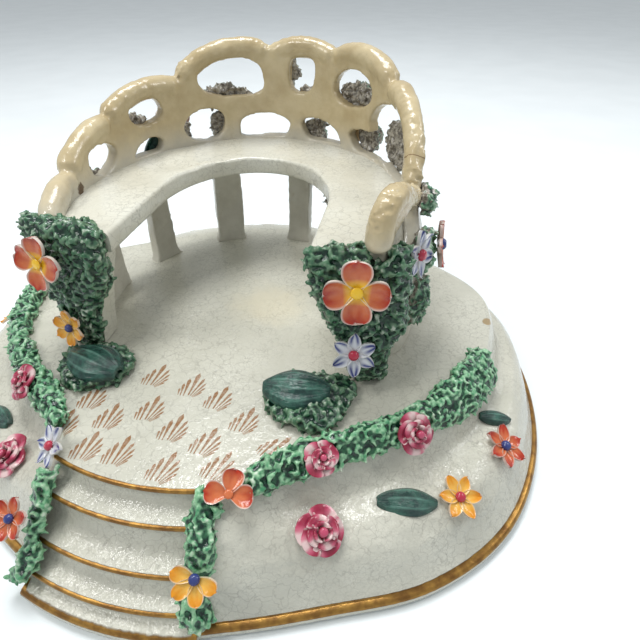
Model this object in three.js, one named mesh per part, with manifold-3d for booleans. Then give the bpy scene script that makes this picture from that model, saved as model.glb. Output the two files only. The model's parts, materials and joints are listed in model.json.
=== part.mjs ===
// Porcelain garden bower: an empty horseshoe arbour seat on a mound with a flight of steps.
// Millimetres, +Z up, the flight of steps faces -Y. The origin is on the table, under the
// middle of the whole piece.
import * as THREE from 'three'
import * as BufferGeometryUtils from 'three/addons/utils/BufferGeometryUtils.js'
import Module from 'manifold-3d'

const wasm = await Module()
wasm.setup()

// Driving dimensions.
const FLOOR = 29            // height of the paved floor above the table
const BOWER_Y = 3.2         // centre of the horseshoe, behind the middle of the base
const BOWER_TURN = 3        // degrees that the horseshoe sits turned on its base
const FOOT = 3.9            // height of the base's gilt foot
const SEAT_TOP = 40.4       // seat height above the floor
const SEAT_THICK = 5.9
const SEAT_HALF_GAP = 27    // half the width between the two arms of the seat
const SEAT_INNER_DEPTH = 33.3
const ARM_REACH = 29.6      // how far the arms come forward of the horseshoe's centre
const WALL = 4.8            // thickness of the trellis
const ROLL = 3.6            // radius of the rolled rim
const WALL_ENDS = [-30, 210] // degrees round the horseshoe, right arm to left arm
const JOIN = 0.3            // width of the luting line between two pieces

// Glazes and painting.
const paint = (color, roughness = 0.25) => (
  new THREE.MeshStandardMaterial({ color, roughness, metalness: 0 })
)
const WHITE = paint(0xd6d3c6)
const IVORY = paint(0xc8ba92)
const MOSS = paint(0x1f5a41, 0.5)
const LEAF = paint(0x1d4a40)
const ORANGE = paint(0xc8502a)
const YELLOW = paint(0xe0a01c)
const PINK = paint(0xc76b8b)
const BLUE = paint(0x8d9bc0)

const group = new THREE.Group()
const radians = THREE.MathUtils.degToRad
const lerp = THREE.MathUtils.lerp
const clamp = THREE.MathUtils.clamp
const smooth = (x, low, high) => THREE.MathUtils.smoothstep(x, low, high)

// A closed skin over rings of points, capped at both ends from each ring's middle.
function skin(rings) {
  const count = rings[0].length
  const points = rings.flat()
  const middle = (ring) => ring.reduce((sum, p) => sum.add(p), new THREE.Vector3()).divideScalar(count)
  points.push(middle(rings[0]), middle(rings[rings.length - 1]))
  const index = []
  for (let r = 0; r < rings.length - 1; r++) {
    for (let i = 0; i < count; i++) {
      const j = (i + 1) % count
      const [a, b, c, d] = [r * count + i, r * count + j, (r + 1) * count + j, (r + 1) * count + i]
      index.push(a, b, c, a, c, d)
    }
  }
  const last = (rings.length - 1) * count
  for (let i = 0; i < count; i++) {
    const j = (i + 1) % count
    index.push(points.length - 2, j, i)
    index.push(points.length - 1, last + i, last + j)
  }
  const geometry = new THREE.BufferGeometry()
  const numbers = points.flatMap((p) => p.toArray())
  geometry.setAttribute('position', new THREE.Float32BufferAttribute(numbers, 3))
  geometry.setIndex(index)
  return facingOut(geometry)
}

// Turns every face round if the skin's volume comes out negative.
function facingOut(geometry) {
  const position = geometry.attributes.position
  const index = geometry.index.array
  const [a, b, c] = [new THREE.Vector3(), new THREE.Vector3(), new THREE.Vector3()]
  let volume = 0
  for (let i = 0; i < index.length; i += 3) {
    a.fromBufferAttribute(position, index[i])
    b.fromBufferAttribute(position, index[i + 1])
    c.fromBufferAttribute(position, index[i + 2])
    volume += a.dot(b.cross(c))
  }
  if (volume < 0) {
    for (let i = 0; i < index.length; i += 3) [index[i], index[i + 1]] = [index[i + 1], index[i]]
  }
  return geometry
}

function solid(geometry) {
  const bare = geometry.clone()
  bare.deleteAttribute('normal')
  bare.deleteAttribute('uv')
  const merged = BufferGeometryUtils.mergeVertices(bare, 1e-4)
  const vertProperties = new Float32Array(merged.attributes.position.array)
  const triVerts = new Uint32Array(merged.index.array)
  return new wasm.Manifold(new wasm.Mesh({ numProp: 3, vertProperties, triVerts }))
}

function geometryOf(manifold) {
  const mesh = manifold.getMesh()
  const geometry = new THREE.BufferGeometry()
  geometry.setAttribute('position', new THREE.BufferAttribute(mesh.vertProperties, 3))
  geometry.setIndex(new THREE.BufferAttribute(mesh.triVerts, 1))
  return geometry
}

// Keeps the largest body of a cut piece, so that no crumb is left beside it.
function largest(manifold) {
  const bodies = manifold.decompose()
  return bodies.reduce((best, body) => (body.volume() > best.volume() ? body : best))
}

function add(name, shape, material) {
  const geometry = shape.isBufferGeometry ? shape : geometryOf(shape)
  const mesh = new THREE.Mesh(geometry, material)
  mesh.name = name
  group.add(mesh)
  return mesh
}

// The base: radii from the horseshoe's centre every 15 degrees, from the front through the right.
const RIM_RADII = [76, 74.5, 68.8, 69.8, 74.2, 78.8, 81.6, 83, 76, 66, 61, 59, 58.5, 58.5, 59, 61, 65,
  74, 79.5, 78.8, 74.2, 69.8, 68.8, 74.5]
const FOOT_RADII = [98.6, 95.2, 95.6, 101, 104.2, 103.6, 102, 100.6, 98.4, 96, 94, 92.6, 92.2, 92.6, 94,
  96, 98.4, 100.6, 102, 103.6, 104.2, 101, 95.6, 95.2]
const RADII_STEP = 15

function radiusAt(radii, degrees) {
  const place = (((degrees + 90) % 360) + 360) % 360 / RADII_STEP
  const i = Math.floor(place)
  const f = place - i
  const [a, b, c, d] = [-1, 0, 1, 2].map((k) => radii[(i + k + radii.length) % radii.length])
  return b + 0.5 * f * (c - a + f * (2 * a - 5 * b + 4 * c - d + f * (3 * (b - c) + d - a)))
}

// Three profiles from the rim of the terrace to the foot: share of the way out, height.
const WAY_OUT = [0, 0.08, 0.17, 0.28, 0.4, 0.54, 0.68, 0.81, 0.92, 1]
const COVE_AND_PILLOW = [29.5, 28, 24, 20.4, 18.7, 17.9, 16, 12, 6.6, FOOT]
const FULL_SHOULDER = [29.5, 29.1, 28.4, 27.3, 25.4, 22.6, 18.4, 13, 7.6, FOOT]
const PLAIN_BACK = [29, 28.6, 27.7, 26, 23.4, 19.8, 15.2, 10.8, 6.3, FOOT]

// How far an angle is from the front, the same on the right and on the left.
const offFront = (degrees) => Math.abs((((degrees + 90 + 180) % 360) + 360) % 360 - 180)

function slopeHeight(k, degrees) {
  const off = offFront(degrees)
  const full = 1 - smooth(off, 12, 34)
  const back = smooth(off, 96, 138)
  return lerp(lerp(COVE_AND_PILLOW[k], FULL_SHOULDER[k], full), PLAIN_BACK[k], back)
}

const BASE_SIDES = 44
function baseRing(radius, height) {
  return Array.from({ length: BASE_SIDES }, (_, i) => {
    const degrees = (i * 360) / BASE_SIDES
    const r = radius(degrees)
    const x = r * Math.cos(radians(degrees))
    const y = r * Math.sin(radians(degrees)) + BOWER_Y
    return new THREE.Vector3(x, y, height(degrees))
  })
}

const SLOPE_EDGE = 1.8      // the foot stands this far outside the slope
const TERRACE_EDGE = 6      // width of the soft edge where the floor runs up to the terrace's rim
const FOOT_BEAD = [[0.5, 3.4], [0, 2.4], [0.4, 0]] // the rounded foot: inside its widest line, height
function mound() {
  const rim = (d) => radiusAt(RIM_RADII, d)
  const foot = (d) => radiusAt(FOOT_RADII, d)
  const floorEdge = baseRing((d) => rim(d) - TERRACE_EDGE, () => FLOOR)
  const slope = WAY_OUT.map((way, k) => (
    baseRing((d) => lerp(rim(d), foot(d) - SLOPE_EDGE, way), (d) => slopeHeight(k, d))
  ))
  const bead = FOOT_BEAD.map(([inside, height]) => baseRing((d) => foot(d) - inside, () => height))
  return solid(skin([floorEdge, ...slope, ...bead]))
}

// The flight: four concave risers on arcs about one centre, cut into the front of the mound.
// Its profile runs outwards from under the floor: out from the top nosing, height.
const FLIGHT_X = -5
const FLIGHT_HALF = 21.5
const FLIGHT_RADIUS = 70    // of the top nosing
const NOSING_Y = -73.1
const NOSINGS = [[0, 29], [5.8, 22.7], [13.1, 13.9], [18.6, 7.6]] // forward of the top nosing, height
const NOSE = 1.5            // depth of a nosing's gilt edge
const FLIGHT_FOOT = 22.6    // the foot's front, forward of the top nosing

const FLIGHT_BACK = -14     // the flight's clay reaches this far in under the floor
const RISER_FOOT = [20.4, FOOT + 0.3] // where the lowest riser runs out on the foot

function flightProfile() {
  const profile = [[FLIGHT_BACK, 0], [FLIGHT_BACK, FLOOR]]
  NOSINGS.forEach(([out, height], k) => {
    const next = NOSINGS[k + 1] ?? RISER_FOOT
    profile.push([out - 0.4, height], [out, height - 0.5], [out - 0.2, height - NOSE])
    const start = [out - 0.9, height - NOSE - 0.5]
    for (const f of [0, 0.55]) {
      const across = lerp(start[0], next[0] - 0.6, f * f)
      profile.push([across, lerp(start[1], next[1] + 0.25, 1 - (1 - f) ** 1.8)])
    }
  })
  profile.push([RISER_FOOT[0], FOOT + 0.2])
  profile.push([FLIGHT_FOOT - 0.6, FOOT - 0.3], [FLIGHT_FOOT, 2.6], [FLIGHT_FOOT - 0.2, 0])
  return profile
}

function flight() {
  const profile = flightProfile()
  const halfTurn = Math.asin((FLIGHT_HALF + 3) / (FLIGHT_RADIUS - 5))
  const turns = 7
  const rings = []
  for (let i = 0; i <= turns; i++) {
    const angle = lerp(-halfTurn, halfTurn, i / turns)
    rings.push(profile.map(([out, height]) => {
      const reach = FLIGHT_RADIUS + out
      return new THREE.Vector3(FLIGHT_X + reach * Math.sin(angle),
        NOSING_Y + FLIGHT_RADIUS - reach * Math.cos(angle), height)
    }))
  }
  return solid(lofted(rings, profile))
}

// A skin whose end rings aren't round: its caps are cut into triangles from the flat profile.
function lofted(rings, profile) {
  const geometry = skin(rings)
  const count = profile.length
  const walls = Array.from(geometry.index.array).slice(0, (rings.length - 1) * count * 6)
  const capped = geometry.clone()
  const flat = profile.map(([a, b]) => new THREE.Vector2(a, b))
  const faces = THREE.ShapeUtils.triangulateShape(flat, [])
  const last = (rings.length - 1) * count
  for (const [a, b, c] of faces) walls.push(a, c, b, last + a, last + b, last + c)
  capped.setIndex(walls)
  return matchingCaps(capped, walls.length - faces.length * 6)
}

// Turns the caps round if they face the wrong way for the walls beside them.
function matchingCaps(geometry, capStart) {
  const index = Array.from(geometry.index.array)
  const edges = new Set()
  for (let i = 0; i < capStart; i += 3) {
    for (let k = 0; k < 3; k++) edges.add(`${index[i + k]}_${index[i + ((k + 1) % 3)]}`)
  }
  let clash = false
  for (let i = capStart; i < index.length; i += 3) {
    for (let k = 0; k < 3; k++) clash ||= edges.has(`${index[i + k]}_${index[i + ((k + 1) % 3)]}`)
  }
  if (clash) {
    for (let i = capStart; i < index.length; i += 3) [index[i], index[i + 1]] = [index[i + 1], index[i]]
  }
  geometry.setIndex(index)
  return geometry
}

function prism(outline, low, high) {
  const ring = (z) => outline.map(([x, y]) => new THREE.Vector3(x, y, z))
  return solid(lofted([ring(low), ring(high)], outline))
}

// The well that the flight fills, a little wider towards the front: wider by, y.
const WELL_WALL = [[0, -67], [0.6, -84], [3.4, -104]]
const WELL_LAP = 0.2        // the flight laps into the mound by this much, so that they are one body
const flightWell = (lap) => prism([-1, 1].flatMap((side) => {
  const wall = WELL_WALL.map(([wider, y], k) => (
    [FLIGHT_X + side * (FLIGHT_HALF + wider + lap), k ? y : y + lap]
  ))
  return side < 0 ? wall : wall.reverse()
}), -lap, FLOOR + 5)
add('base', mound().subtract(flightWell(0)).add(flight().intersect(flightWell(WELL_LAP))), WHITE)

// A place in the horseshoe's own frame, which is turned on the base.
function bowerPoint(x, y, height) {
  const [c, s] = [Math.cos(radians(BOWER_TURN)), Math.sin(radians(BOWER_TURN))]
  return new THREE.Vector3(c * x - s * y, s * x + c * y + BOWER_Y, FLOOR + height)
}

// The horseshoe wall: a place round it in degrees, a height above the floor, a depth outwards.
// It leans out as it rises, more at the back than at the sides, and the end of the right arm
// has a shallow belly in its lower half.
const LEAN_FROM = 40        // height where the sides begin to lean out
const WALL_TOP = 76
const HALF_ACROSS = [51, 52.5] // half widths at those two heights
const HALF_ALONG = [51, 58.5, 62] // half depths at the floor and at those two heights
const ARM_BELLY = 3
function wallPoint(degrees, height, out = 0) {
  const round = smooth(degrees, -26, -14) * (1 - smooth(degrees, 2, 16))
  const belly = ARM_BELLY * round * (1 - smooth(height, 30, 44))
  const upper = (height - LEAN_FROM) / (WALL_TOP - LEAN_FROM)
  const across = belly + (upper < 0 ? HALF_ACROSS[0] : lerp(HALF_ACROSS[0], HALF_ACROSS[1], upper))
  const along = upper < 0
    ? lerp(HALF_ALONG[0], HALF_ALONG[1], height / LEAN_FROM)
    : lerp(HALF_ALONG[1], HALF_ALONG[2], upper)
  const a = radians(degrees)
  return bowerPoint((across + out) * Math.cos(a), (along + out) * Math.sin(a), height)
}

// The rolled rim runs in lobes: where each starts and ends round the wall, the heights of its
// ends and its rise between them. The first is the scroll at the end of the right arm, which
// stands up at once and falls slowly; early is the power that brings its top forward.
const LOBES = [
  { from: -30, to: 4, low: [39, 42], rise: 12.5, early: 0.5 },
  { from: 2, to: 36.5, low: [43, 62.5], rise: 7.5 },
  { from: 36, to: 67.5, low: [63.5, 67.2], rise: 6 },
  { from: 67, to: 96, low: [67.2, 66.8], rise: 4.6 },
  { from: 95.5, to: 133, low: [66.6, 60], rise: 7.6 },
  { from: 132.5, to: 164, low: [58.8, 54], rise: 4.8 },
  { from: 163.6, to: 187, low: [53, 45], rise: 3.6 },
  { from: 186, to: 207, low: [43, 38], rise: 3.4 }
]
const lobeHeight = ({ low, rise, early = 1 }, f) => (
  lerp(low[0], low[1], f) + rise * Math.max(0, Math.sin(Math.PI * f ** early)) ** 0.55
)

function rimHeight(degrees) {
  const heights = LOBES.filter((lobe) => degrees >= lobe.from && degrees <= lobe.to)
    .map((lobe) => lobeHeight(lobe, (degrees - lobe.from) / (lobe.to - lobe.from)))
  return heights.length ? Math.max(...heights) : LOBES[7].low[1]
}

function wallSheet(ease = 0) {
  const columns = 26
  const half = WALL / 2 + ease
  const rings = []
  for (let i = 0; i <= columns; i++) {
    const d = lerp(WALL_ENDS[0] - ease, WALL_ENDS[1] + ease, i / columns)
    const top = rimHeight(d)
    const inside = [JOIN - ease, SEAT_TOP - SEAT_THICK - 0.5, top].map((h) => wallPoint(d, h, -half))
    const outside = [top, SEAT_TOP - SEAT_THICK - 0.5, JOIN - ease].map((h) => wallPoint(d, h, half))
    rings.push([...inside, ...outside])
  }
  const square = [[-1, 0], [-1, 1], [-1, 2], [1, 2], [1, 1], [1, 0]]
  return solid(lofted(rings, square))
}

// Openings in the trellis: degrees from and to, heights from and to, how square, how far the top
// leans, and whether the sill is flat.
const OPENINGS = [
  { at: [-24, -3], up: [34, 48], square: 2.2, lean: 0.1 },
  { at: [14, 44], up: [40, 60.5], square: 2.2, lean: 0.25 },
  { at: [46, 66], up: [55, 67], square: 2.2, lean: 0 },
  { at: [75.5, 87], up: [57, 69], square: 3, lean: 0 },
  { at: [97.5, 125.5], up: [55.5, 68], square: 2.6, lean: 0.12 },
  { at: [141.5, 155.5], up: [50.8, 59.4], square: 2.4, lean: 0 },
  { at: [164.5, 178.5], up: [41, 50], square: 2.2, lean: -0.15 },
  { at: [36.5, 56], up: [41, 49], square: 2, lean: 0.25, flat: true },
  { at: [63.5, 81], up: [41, 49], square: 2, lean: 0.35, flat: true },
  { at: [87.3, 109.5], up: [41, 49.6], square: 2, lean: 0, flat: true },
  { at: [115.5, 133.5], up: [41, 52], square: 2.2, lean: 0 },
  { at: [143.5, 156], up: [41, 46], square: 2, lean: -0.3, flat: true },
  { at: [87.6, 110.5], up: [3, 34], square: 8, lean: 0 },
  { at: [122.8, 145], up: [3, 34], square: 8, lean: 0 },
  { at: [155.3, 174], up: [3, 34], square: 8, lean: 0 },
  { at: [186, 198], up: [8, 23], square: 2.6, lean: 0 },
  { at: [58, 77], up: [3, 34], square: 8, lean: 0 },
  { at: [28, 49], up: [3, 34], square: 8, lean: 0 },
  { at: [2, 20], up: [3, 34], square: 8, lean: 0 }
]
const OPENING_SIDES = 8
const FLAT_SILL = 9         // squareness of the lower half over a flat sill

function openingCutter({ at, up, square, lean, flat }) {
  const middle = [(at[0] + at[1]) / 2, (up[0] + up[1]) / 2]
  const half = [(at[1] - at[0]) / 2, (up[1] - up[0]) / 2]
  const outline = Array.from({ length: OPENING_SIDES }, (_, i) => {
    const angle = ((i + 0.5) / OPENING_SIDES) * 2 * Math.PI
    const power = 2 / (flat && Math.sin(angle) < 0 ? FLAT_SILL : square)
    const x = Math.sign(Math.cos(angle)) * Math.abs(Math.cos(angle)) ** power
    const y = Math.sign(Math.sin(angle)) * Math.abs(Math.sin(angle)) ** power
    return [middle[0] + half[0] * (x + lean * y), middle[1] + half[1] * y]
  })
  const through = [-1.5 * WALL, 1.5 * WALL]
  return solid(skin(through.map((out) => outline.map(([d, h]) => wallPoint(d, h, out)))))
}

function rollAlong(lobe, ease = 0) {
  const stations = 8
  const points = Array.from({ length: stations + 1 }, (_, i) => {
    const f = i / stations
    return wallPoint(lerp(lobe.from, lobe.to, f), lobeHeight(lobe, f), 0)
  })
  const sides = 6
  const section = new THREE.Shape(Array.from({ length: sides }, (_, i) => {
    const angle = (i * 2 * Math.PI) / sides
    return new THREE.Vector2((ROLL + ease) * Math.cos(angle), (ROLL + ease) * Math.sin(angle))
  }))
  const path = new THREE.CatmullRomCurve3(points)
  return solid(new THREE.ExtrudeGeometry(section, { steps: 6, extrudePath: path, bevelEnabled: false }))
}

function trellisBody(ease = 0) {
  let body = wallSheet(ease)
  if (!ease) for (const opening of OPENINGS) body = body.subtract(openingCutter(opening))
  for (const lobe of LOBES) body = body.add(rollAlong(lobe, ease))
  return largest(body)
}
add('trellis', trellisBody(), IVORY)

// The trellis with a luting line round it, and under the cut ends of its first and last roll.
const UNDER = 1.5 * JOIN
const rollEnds = [LOBES[0], LOBES[LOBES.length - 1]].map((lobe) => (
  rollAlong(lobe).translate(0, -UNDER, -UNDER)
))
const trellisRoom = rollEnds.reduce((room, end) => room.add(end), trellisBody(JOIN))

// The seat: a flat horseshoe slab luted to the inside of the trellis.
function seatSlab(ease = 0) {
  const steps = 16
  const outer = []
  const inner = []
  for (let i = 0; i <= steps; i++) {
    const d = lerp(WALL_ENDS[0] + 2, WALL_ENDS[1] - 2, i / steps)
    outer.push((h) => wallPoint(d, h, -WALL / 2 + ease))
  }
  const placed = (x, y) => (h) => bowerPoint(x, y, h)
  inner.push(placed(-SEAT_HALF_GAP + ease, -ARM_REACH - ease))
  for (let i = 0; i <= steps; i++) {
    const angle = radians(180 - (180 * i) / steps)
    inner.push(placed((SEAT_HALF_GAP - ease) * Math.cos(angle), (SEAT_INNER_DEPTH - ease) * Math.sin(angle)))
  }
  inner.push(placed(SEAT_HALF_GAP - ease, -ARM_REACH - ease))
  const outline = [...outer, ...inner]
  const ring = (h) => outline.map((point) => point(h))
  const flat = ring(SEAT_TOP).map((p) => [p.x, p.y])
  return solid(lofted([ring(SEAT_TOP - SEAT_THICK - ease), ring(SEAT_TOP + ease)], flat))
}
add('seat', largest(seatSlab().subtract(trellisRoom)), WHITE)
const seatRoom = seatSlab(JOIN)

// The brackets under the ends of the arms: outline across and up, for the right one. Their
// fronts are skewed, so that the outer edge stands further back.
const BRACKET_TOP = SEAT_TOP - SEAT_THICK - JOIN
const BRACKET = [[29.4, BRACKET_TOP], [44.5, BRACKET_TOP], [46, 18], [45.5, JOIN], [39.5, JOIN], [37.4, 10],
  [34, 22]]
const BRACKET_FRONT = -30
const BRACKET_DEPTH = 7.5
const skew = (x) => 0.18 * (x - 36)
function bracket(side, ease = 0) {
  const middle = [41, 18]
  const outline = BRACKET.map(([x, h]) => (
    [x + ease * Math.sign(x - middle[0]), h + ease * Math.sign(h - middle[1])]
  ))
  const ring = (y) => outline.map(([x, h]) => bowerPoint(side * x, y + skew(x), h))
  return solid(lofted([ring(BRACKET_FRONT - ease), ring(BRACKET_FRONT + BRACKET_DEPTH + ease)], outline))
}

// Repeatable unevenness for the pressed clay, between -1 and 1.
const uneven = (a, b = 0) => 2 * Math.abs((Math.sin(a * 12.9898 + b * 78.233) * 43758.5453) % 1) - 1

// Moss on the front of the bracket and the arm's end: outline across and up, for the right one,
// and the places of its back, its widest line and its front, each with its share of the outline.
const FRONT_MOSS = [[28.5, 41], [33, 42.4], [39, 42], [45, 42.6], [51.5, 41.5], [52.6, 30], [53, 18],
  [49, 12], [48.6, 0.4], [42, 0.4], [38.6, 6], [36.6, 14], [32.5, 23], [29.5, 32]]
const FRONT_MOSS_DEPTHS = [[-26, 0.94], [-31.6, 1.03], [-33.6, 0.86]]
function frontMoss(side) {
  const middle = [42, 24]
  const ring = (y, grow, seed) => FRONT_MOSS.map(([x, h], i) => {
    const swell = grow + 0.05 * uneven(i, seed)
    const height = Math.max(lerp(middle[1], h, swell), JOIN + 0.1)
    return bowerPoint(side * lerp(middle[0], x, swell), y + skew(x) + 0.5 * uneven(seed, i), height)
  })
  return solid(lofted(FRONT_MOSS_DEPTHS.map(([y, grow], k) => ring(y, grow, k + 1)), FRONT_MOSS))
}

// An applied piece of moss, lying on any surface: an uneven cushion over an oval or a bent strip.
function cushion(place, halfLength, halfWidth, thick, seed, sides = 10) {
  const ring = (grow, up) => Array.from({ length: sides }, (_, i) => {
    const angle = (i / sides) * 2 * Math.PI
    const swell = grow * (1 + 0.12 * uneven(i + 1, seed))
    return place(halfLength * swell * Math.cos(angle), halfWidth * swell * Math.sin(angle), up)
  })
  return solid(skin([ring(0.92, 0), ring(1, thick * 0.55), ring(0.58, thick)]))
}

// A frame on the slope of the base: an angle round it and a share of the way from rim to foot.
function slopePoint(degrees, way) {
  const reach = lerp(radiusAt(RIM_RADII, degrees), radiusAt(FOOT_RADII, degrees) - SLOPE_EDGE, way)
  const k = clamp(WAY_OUT.findIndex((w) => w > way) - 1, 0, WAY_OUT.length - 2)
  const f = (way - WAY_OUT[k]) / (WAY_OUT[k + 1] - WAY_OUT[k])
  const height = way < 0 ? FLOOR : lerp(slopeHeight(k, degrees), slopeHeight(k + 1, degrees), f)
  const a = radians(degrees)
  return new THREE.Vector3(reach * Math.cos(a), reach * Math.sin(a) + BOWER_Y, height)
}

function slopeFrame(degrees, way) {
  const origin = slopePoint(degrees, way)
  const outward = slopePoint(degrees, way + 0.03).sub(origin).normalize()
  const along = slopePoint(degrees + 1, way).sub(origin).normalize()
  const normal = outward.clone().cross(along).normalize()
  return { origin, normal }
}

// A set of three axes on a surface: outwards, and two along it, the second one pointing uphill.
function frameAt(origin, normal, uphill = new THREE.Vector3(0, 0, 1)) {
  const side = uphill.clone().cross(normal)
  if (side.length() < 0.05) side.set(1, 0, 0)
  side.normalize()
  return { origin, normal, side, up: normal.clone().cross(side) }
}
const onSlope = (degrees, way, raise = JOIN) => {
  const { origin, normal } = slopeFrame(degrees, way)
  return frameAt(origin.addScaledVector(normal, raise), normal)
}
const onWall = (degrees, height, raise = JOIN) => {
  const at = (d, h) => wallPoint(d, h, WALL / 2)
  const normal = at(degrees + 1, height).sub(at(degrees, height))
    .cross(at(degrees, height + 1).sub(at(degrees, height))).normalize()
  return frameAt(at(degrees, height).addScaledVector(normal, raise), normal)
}
const inFrame = ({ origin, normal, side, up }, across, upward, out) => origin.clone()
  .addScaledVector(side, across).addScaledVector(up, upward).addScaledVector(normal, out)

// Flowers: pressed petals round a button, or a rosette of rolled clay.
function flower({ frame, petals, radius, turn = 0 }) {
  const rose = petals === 0
  const count = rose ? 8 : petals * 2
  const ring = (reach, lobed, up) => Array.from({ length: count }, (_, i) => {
    const angle = radians(turn) + (i / count) * 2 * Math.PI
    const r = radius * reach * (i % 2 ? 1 : 1 - lobed)
    return inFrame(frame, r * Math.cos(angle), r * Math.sin(angle), up * radius)
  })
  const bowl = [ring(0.5, 0, 0), ring(1, 0.14, 0.3), ring(0.74, 0.1, 0.68), ring(0.3, 0, 0.72)]
  const star = [ring(0.4, 0, 0), ring(1, 0.4, 0.26), ring(0.3, 0, 0.34)]
  return solid(skin(rose ? bowl : star))
}

// The room that a flower is pressed into: a round well from its back outwards.
const FLOWER_WELL_DEPTH = 14
function flowerWell({ frame, radius }) {
  const ring = (reach, up) => Array.from({ length: 8 }, (_, i) => {
    const angle = ((i + 0.5) / 8) * 2 * Math.PI
    return inFrame(frame, radius * reach * Math.cos(angle), radius * reach * Math.sin(angle), up)
  })
  return solid(skin([ring(1.1, -JOIN), ring(1.1, FLOWER_WELL_DEPTH)]))
}

// Leaves: a cupped oval with a raised spine, its length across or up its frame.
function leaf({ frame, length, width, thick, turn = 0 }) {
  const [c, s] = [Math.cos(radians(turn)), Math.sin(radians(turn))]
  const ring = (reach, up) => Array.from({ length: 10 }, (_, i) => {
    const angle = (i / 10) * 2 * Math.PI
    const a = (length / 2) * reach * Math.cos(angle)
    const b = (width / 2) * reach * Math.sin(angle)
    return inFrame(frame, c * a - s * b, s * a + c * b, up)
  })
  return solid(skin([ring(0.6, 0), ring(1, thick * 0.45), ring(0.55, thick)]))
}

const mirrored = (degrees) => 180 - degrees
const sides = [['right', 1], ['left', -1]]
const pressed = (shape, list) => list.reduce((left, item) => left.subtract(flowerWell(item)), shape)
const eased = (shape, ...rooms) => largest(rooms.reduce((left, room) => left.subtract(room), shape))
const flat = (x, y, height) => frameAt(new THREE.Vector3(x, y, FLOOR + height),
  new THREE.Vector3(0, 0, 1), new THREE.Vector3(0, 1, 0))

// A frame in the open: azimuth to the right of the front and tilt up, both in degrees.
function facing(x, y, height, azimuth, tilt) {
  const [a, t] = [radians(azimuth), radians(tilt)]
  const normal = new THREE.Vector3(Math.sin(a) * Math.cos(t), -Math.cos(a) * Math.cos(t), Math.sin(t))
  return frameAt(new THREE.Vector3(x, y, FLOOR + height), normal)
}

const FRONT_FLOWERS = [
  { name: 'flower_bracket_right_four_petals', frame: facing(42.3, -30.2, 34.5, 10, 12),
    petals: 4, radius: 9, turn: 45, glaze: ORANGE },
  { name: 'flower_bracket_right_six_petals', frame: facing(42.4, -30.4, 14.2, 10, 18),
    petals: 6, radius: 6.8, glaze: BLUE },
  { name: 'flower_bracket_left_four_petals', frame: facing(-43, -34.4, 33, -10, 12),
    petals: 4, radius: 8.4, turn: 38, glaze: ORANGE },
  { name: 'flower_bracket_left_six_petals', frame: facing(-41.6, -34.4, 11, -10, 14),
    petals: 6, radius: 6, turn: 12, glaze: YELLOW }
]
const GARLAND_FLOWERS = [
  { name: 'rose_garland_right_small', frame: onSlope(-56.2, 0.05, 2), petals: 0, radius: 5, glaze: PINK },
  { name: 'rose_garland_right_large', frame: onSlope(-36.3, 0.07, 2), petals: 0, radius: 6.2, glaze: PINK },
  { name: 'flower_step_right', frame: onSlope(-74.2, 0.08, 1.6), petals: 4, radius: 6.2, turn: 20,
    glaze: ORANGE },
  { name: 'rose_garland_left', frame: onSlope(mirrored(-47), 0.06, 2), petals: 0, radius: 5.8, glaze: PINK },
  { name: 'flower_garland_left', frame: onSlope(mirrored(-70), 0.08, 2.4), petals: 6, radius: 6,
    glaze: BLUE }
]
const FLIGHT_FLOWERS = [
  { name: 'flower_flight_right', frame: facing(18.4, -85.6, -8, 12, 48), petals: 6, radius: 6, turn: 10,
    glaze: YELLOW },
  { name: 'flower_flight_left', frame: facing(-29, -83.5, -6.5, -12, 48), petals: 6, radius: 5.6,
    glaze: ORANGE }
]
const SLOPE_FLOWERS = [
  { name: 'rose_slope_right', frame: onSlope(-59.5, 0.55, 2 * JOIN), petals: 0, radius: 6.8, glaze: PINK },
  { name: 'flower_slope_right_front', frame: onSlope(-35.5, 0.65), petals: 6, radius: 6.4, glaze: YELLOW },
  { name: 'flower_slope_right_side', frame: onSlope(-21.5, 0.63), petals: 6, radius: 6.8, turn: 10,
    glaze: ORANGE },
  { name: 'rose_slope_left', frame: onSlope(mirrored(-57), 0.55, 2 * JOIN), petals: 0, radius: 6.4,
    glaze: PINK },
  { name: 'flower_slope_left_front', frame: onSlope(mirrored(-34), 0.62), petals: 6, radius: 6.4, turn: 15,
    glaze: ORANGE },
  { name: 'flower_slope_left_side', frame: onSlope(mirrored(-8), 0.6), petals: 6, radius: 6.2, glaze: YELLOW }
]
const WALL_FLOWERS = [
  { name: 'flower_arm_right_front', frame: onWall(-20, 38, 3.4), petals: 6, radius: 7.2, glaze: BLUE },
  { name: 'flower_arm_right_side', frame: onWall(-4, 31.5, 3.8), petals: 6, radius: 7.8, turn: 10,
    glaze: ORANGE },
  { name: 'flower_back_right', frame: onWall(60, 46, 2 * JOIN), petals: 6, radius: 7, glaze: YELLOW },
  { name: 'rose_back_middle', frame: onWall(92, 53, 2 * JOIN), petals: 0, radius: 6.4, glaze: PINK },
  { name: 'flower_back_left', frame: onWall(134, 49, 3.4), petals: 4, radius: 7.4, turn: 45,
    glaze: ORANGE },
  { name: 'flower_arm_left_side', frame: onWall(186, 34, 2 * JOIN), petals: 6, radius: 7, glaze: BLUE }
]

for (const [side, sign] of sides) {
  const bracketRoom = bracket(sign, JOIN)
  add(`bracket_${side}`, eased(bracket(sign), trellisRoom), WHITE)
  const rooms = [bracketRoom, trellisRoom, seatRoom]
  const own = FRONT_FLOWERS.filter(({ name }) => name.includes(`bracket_${side}`))
  add(`moss_bracket_${side}`, eased(pressed(frontMoss(sign), own), ...rooms), MOSS)
}

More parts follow.
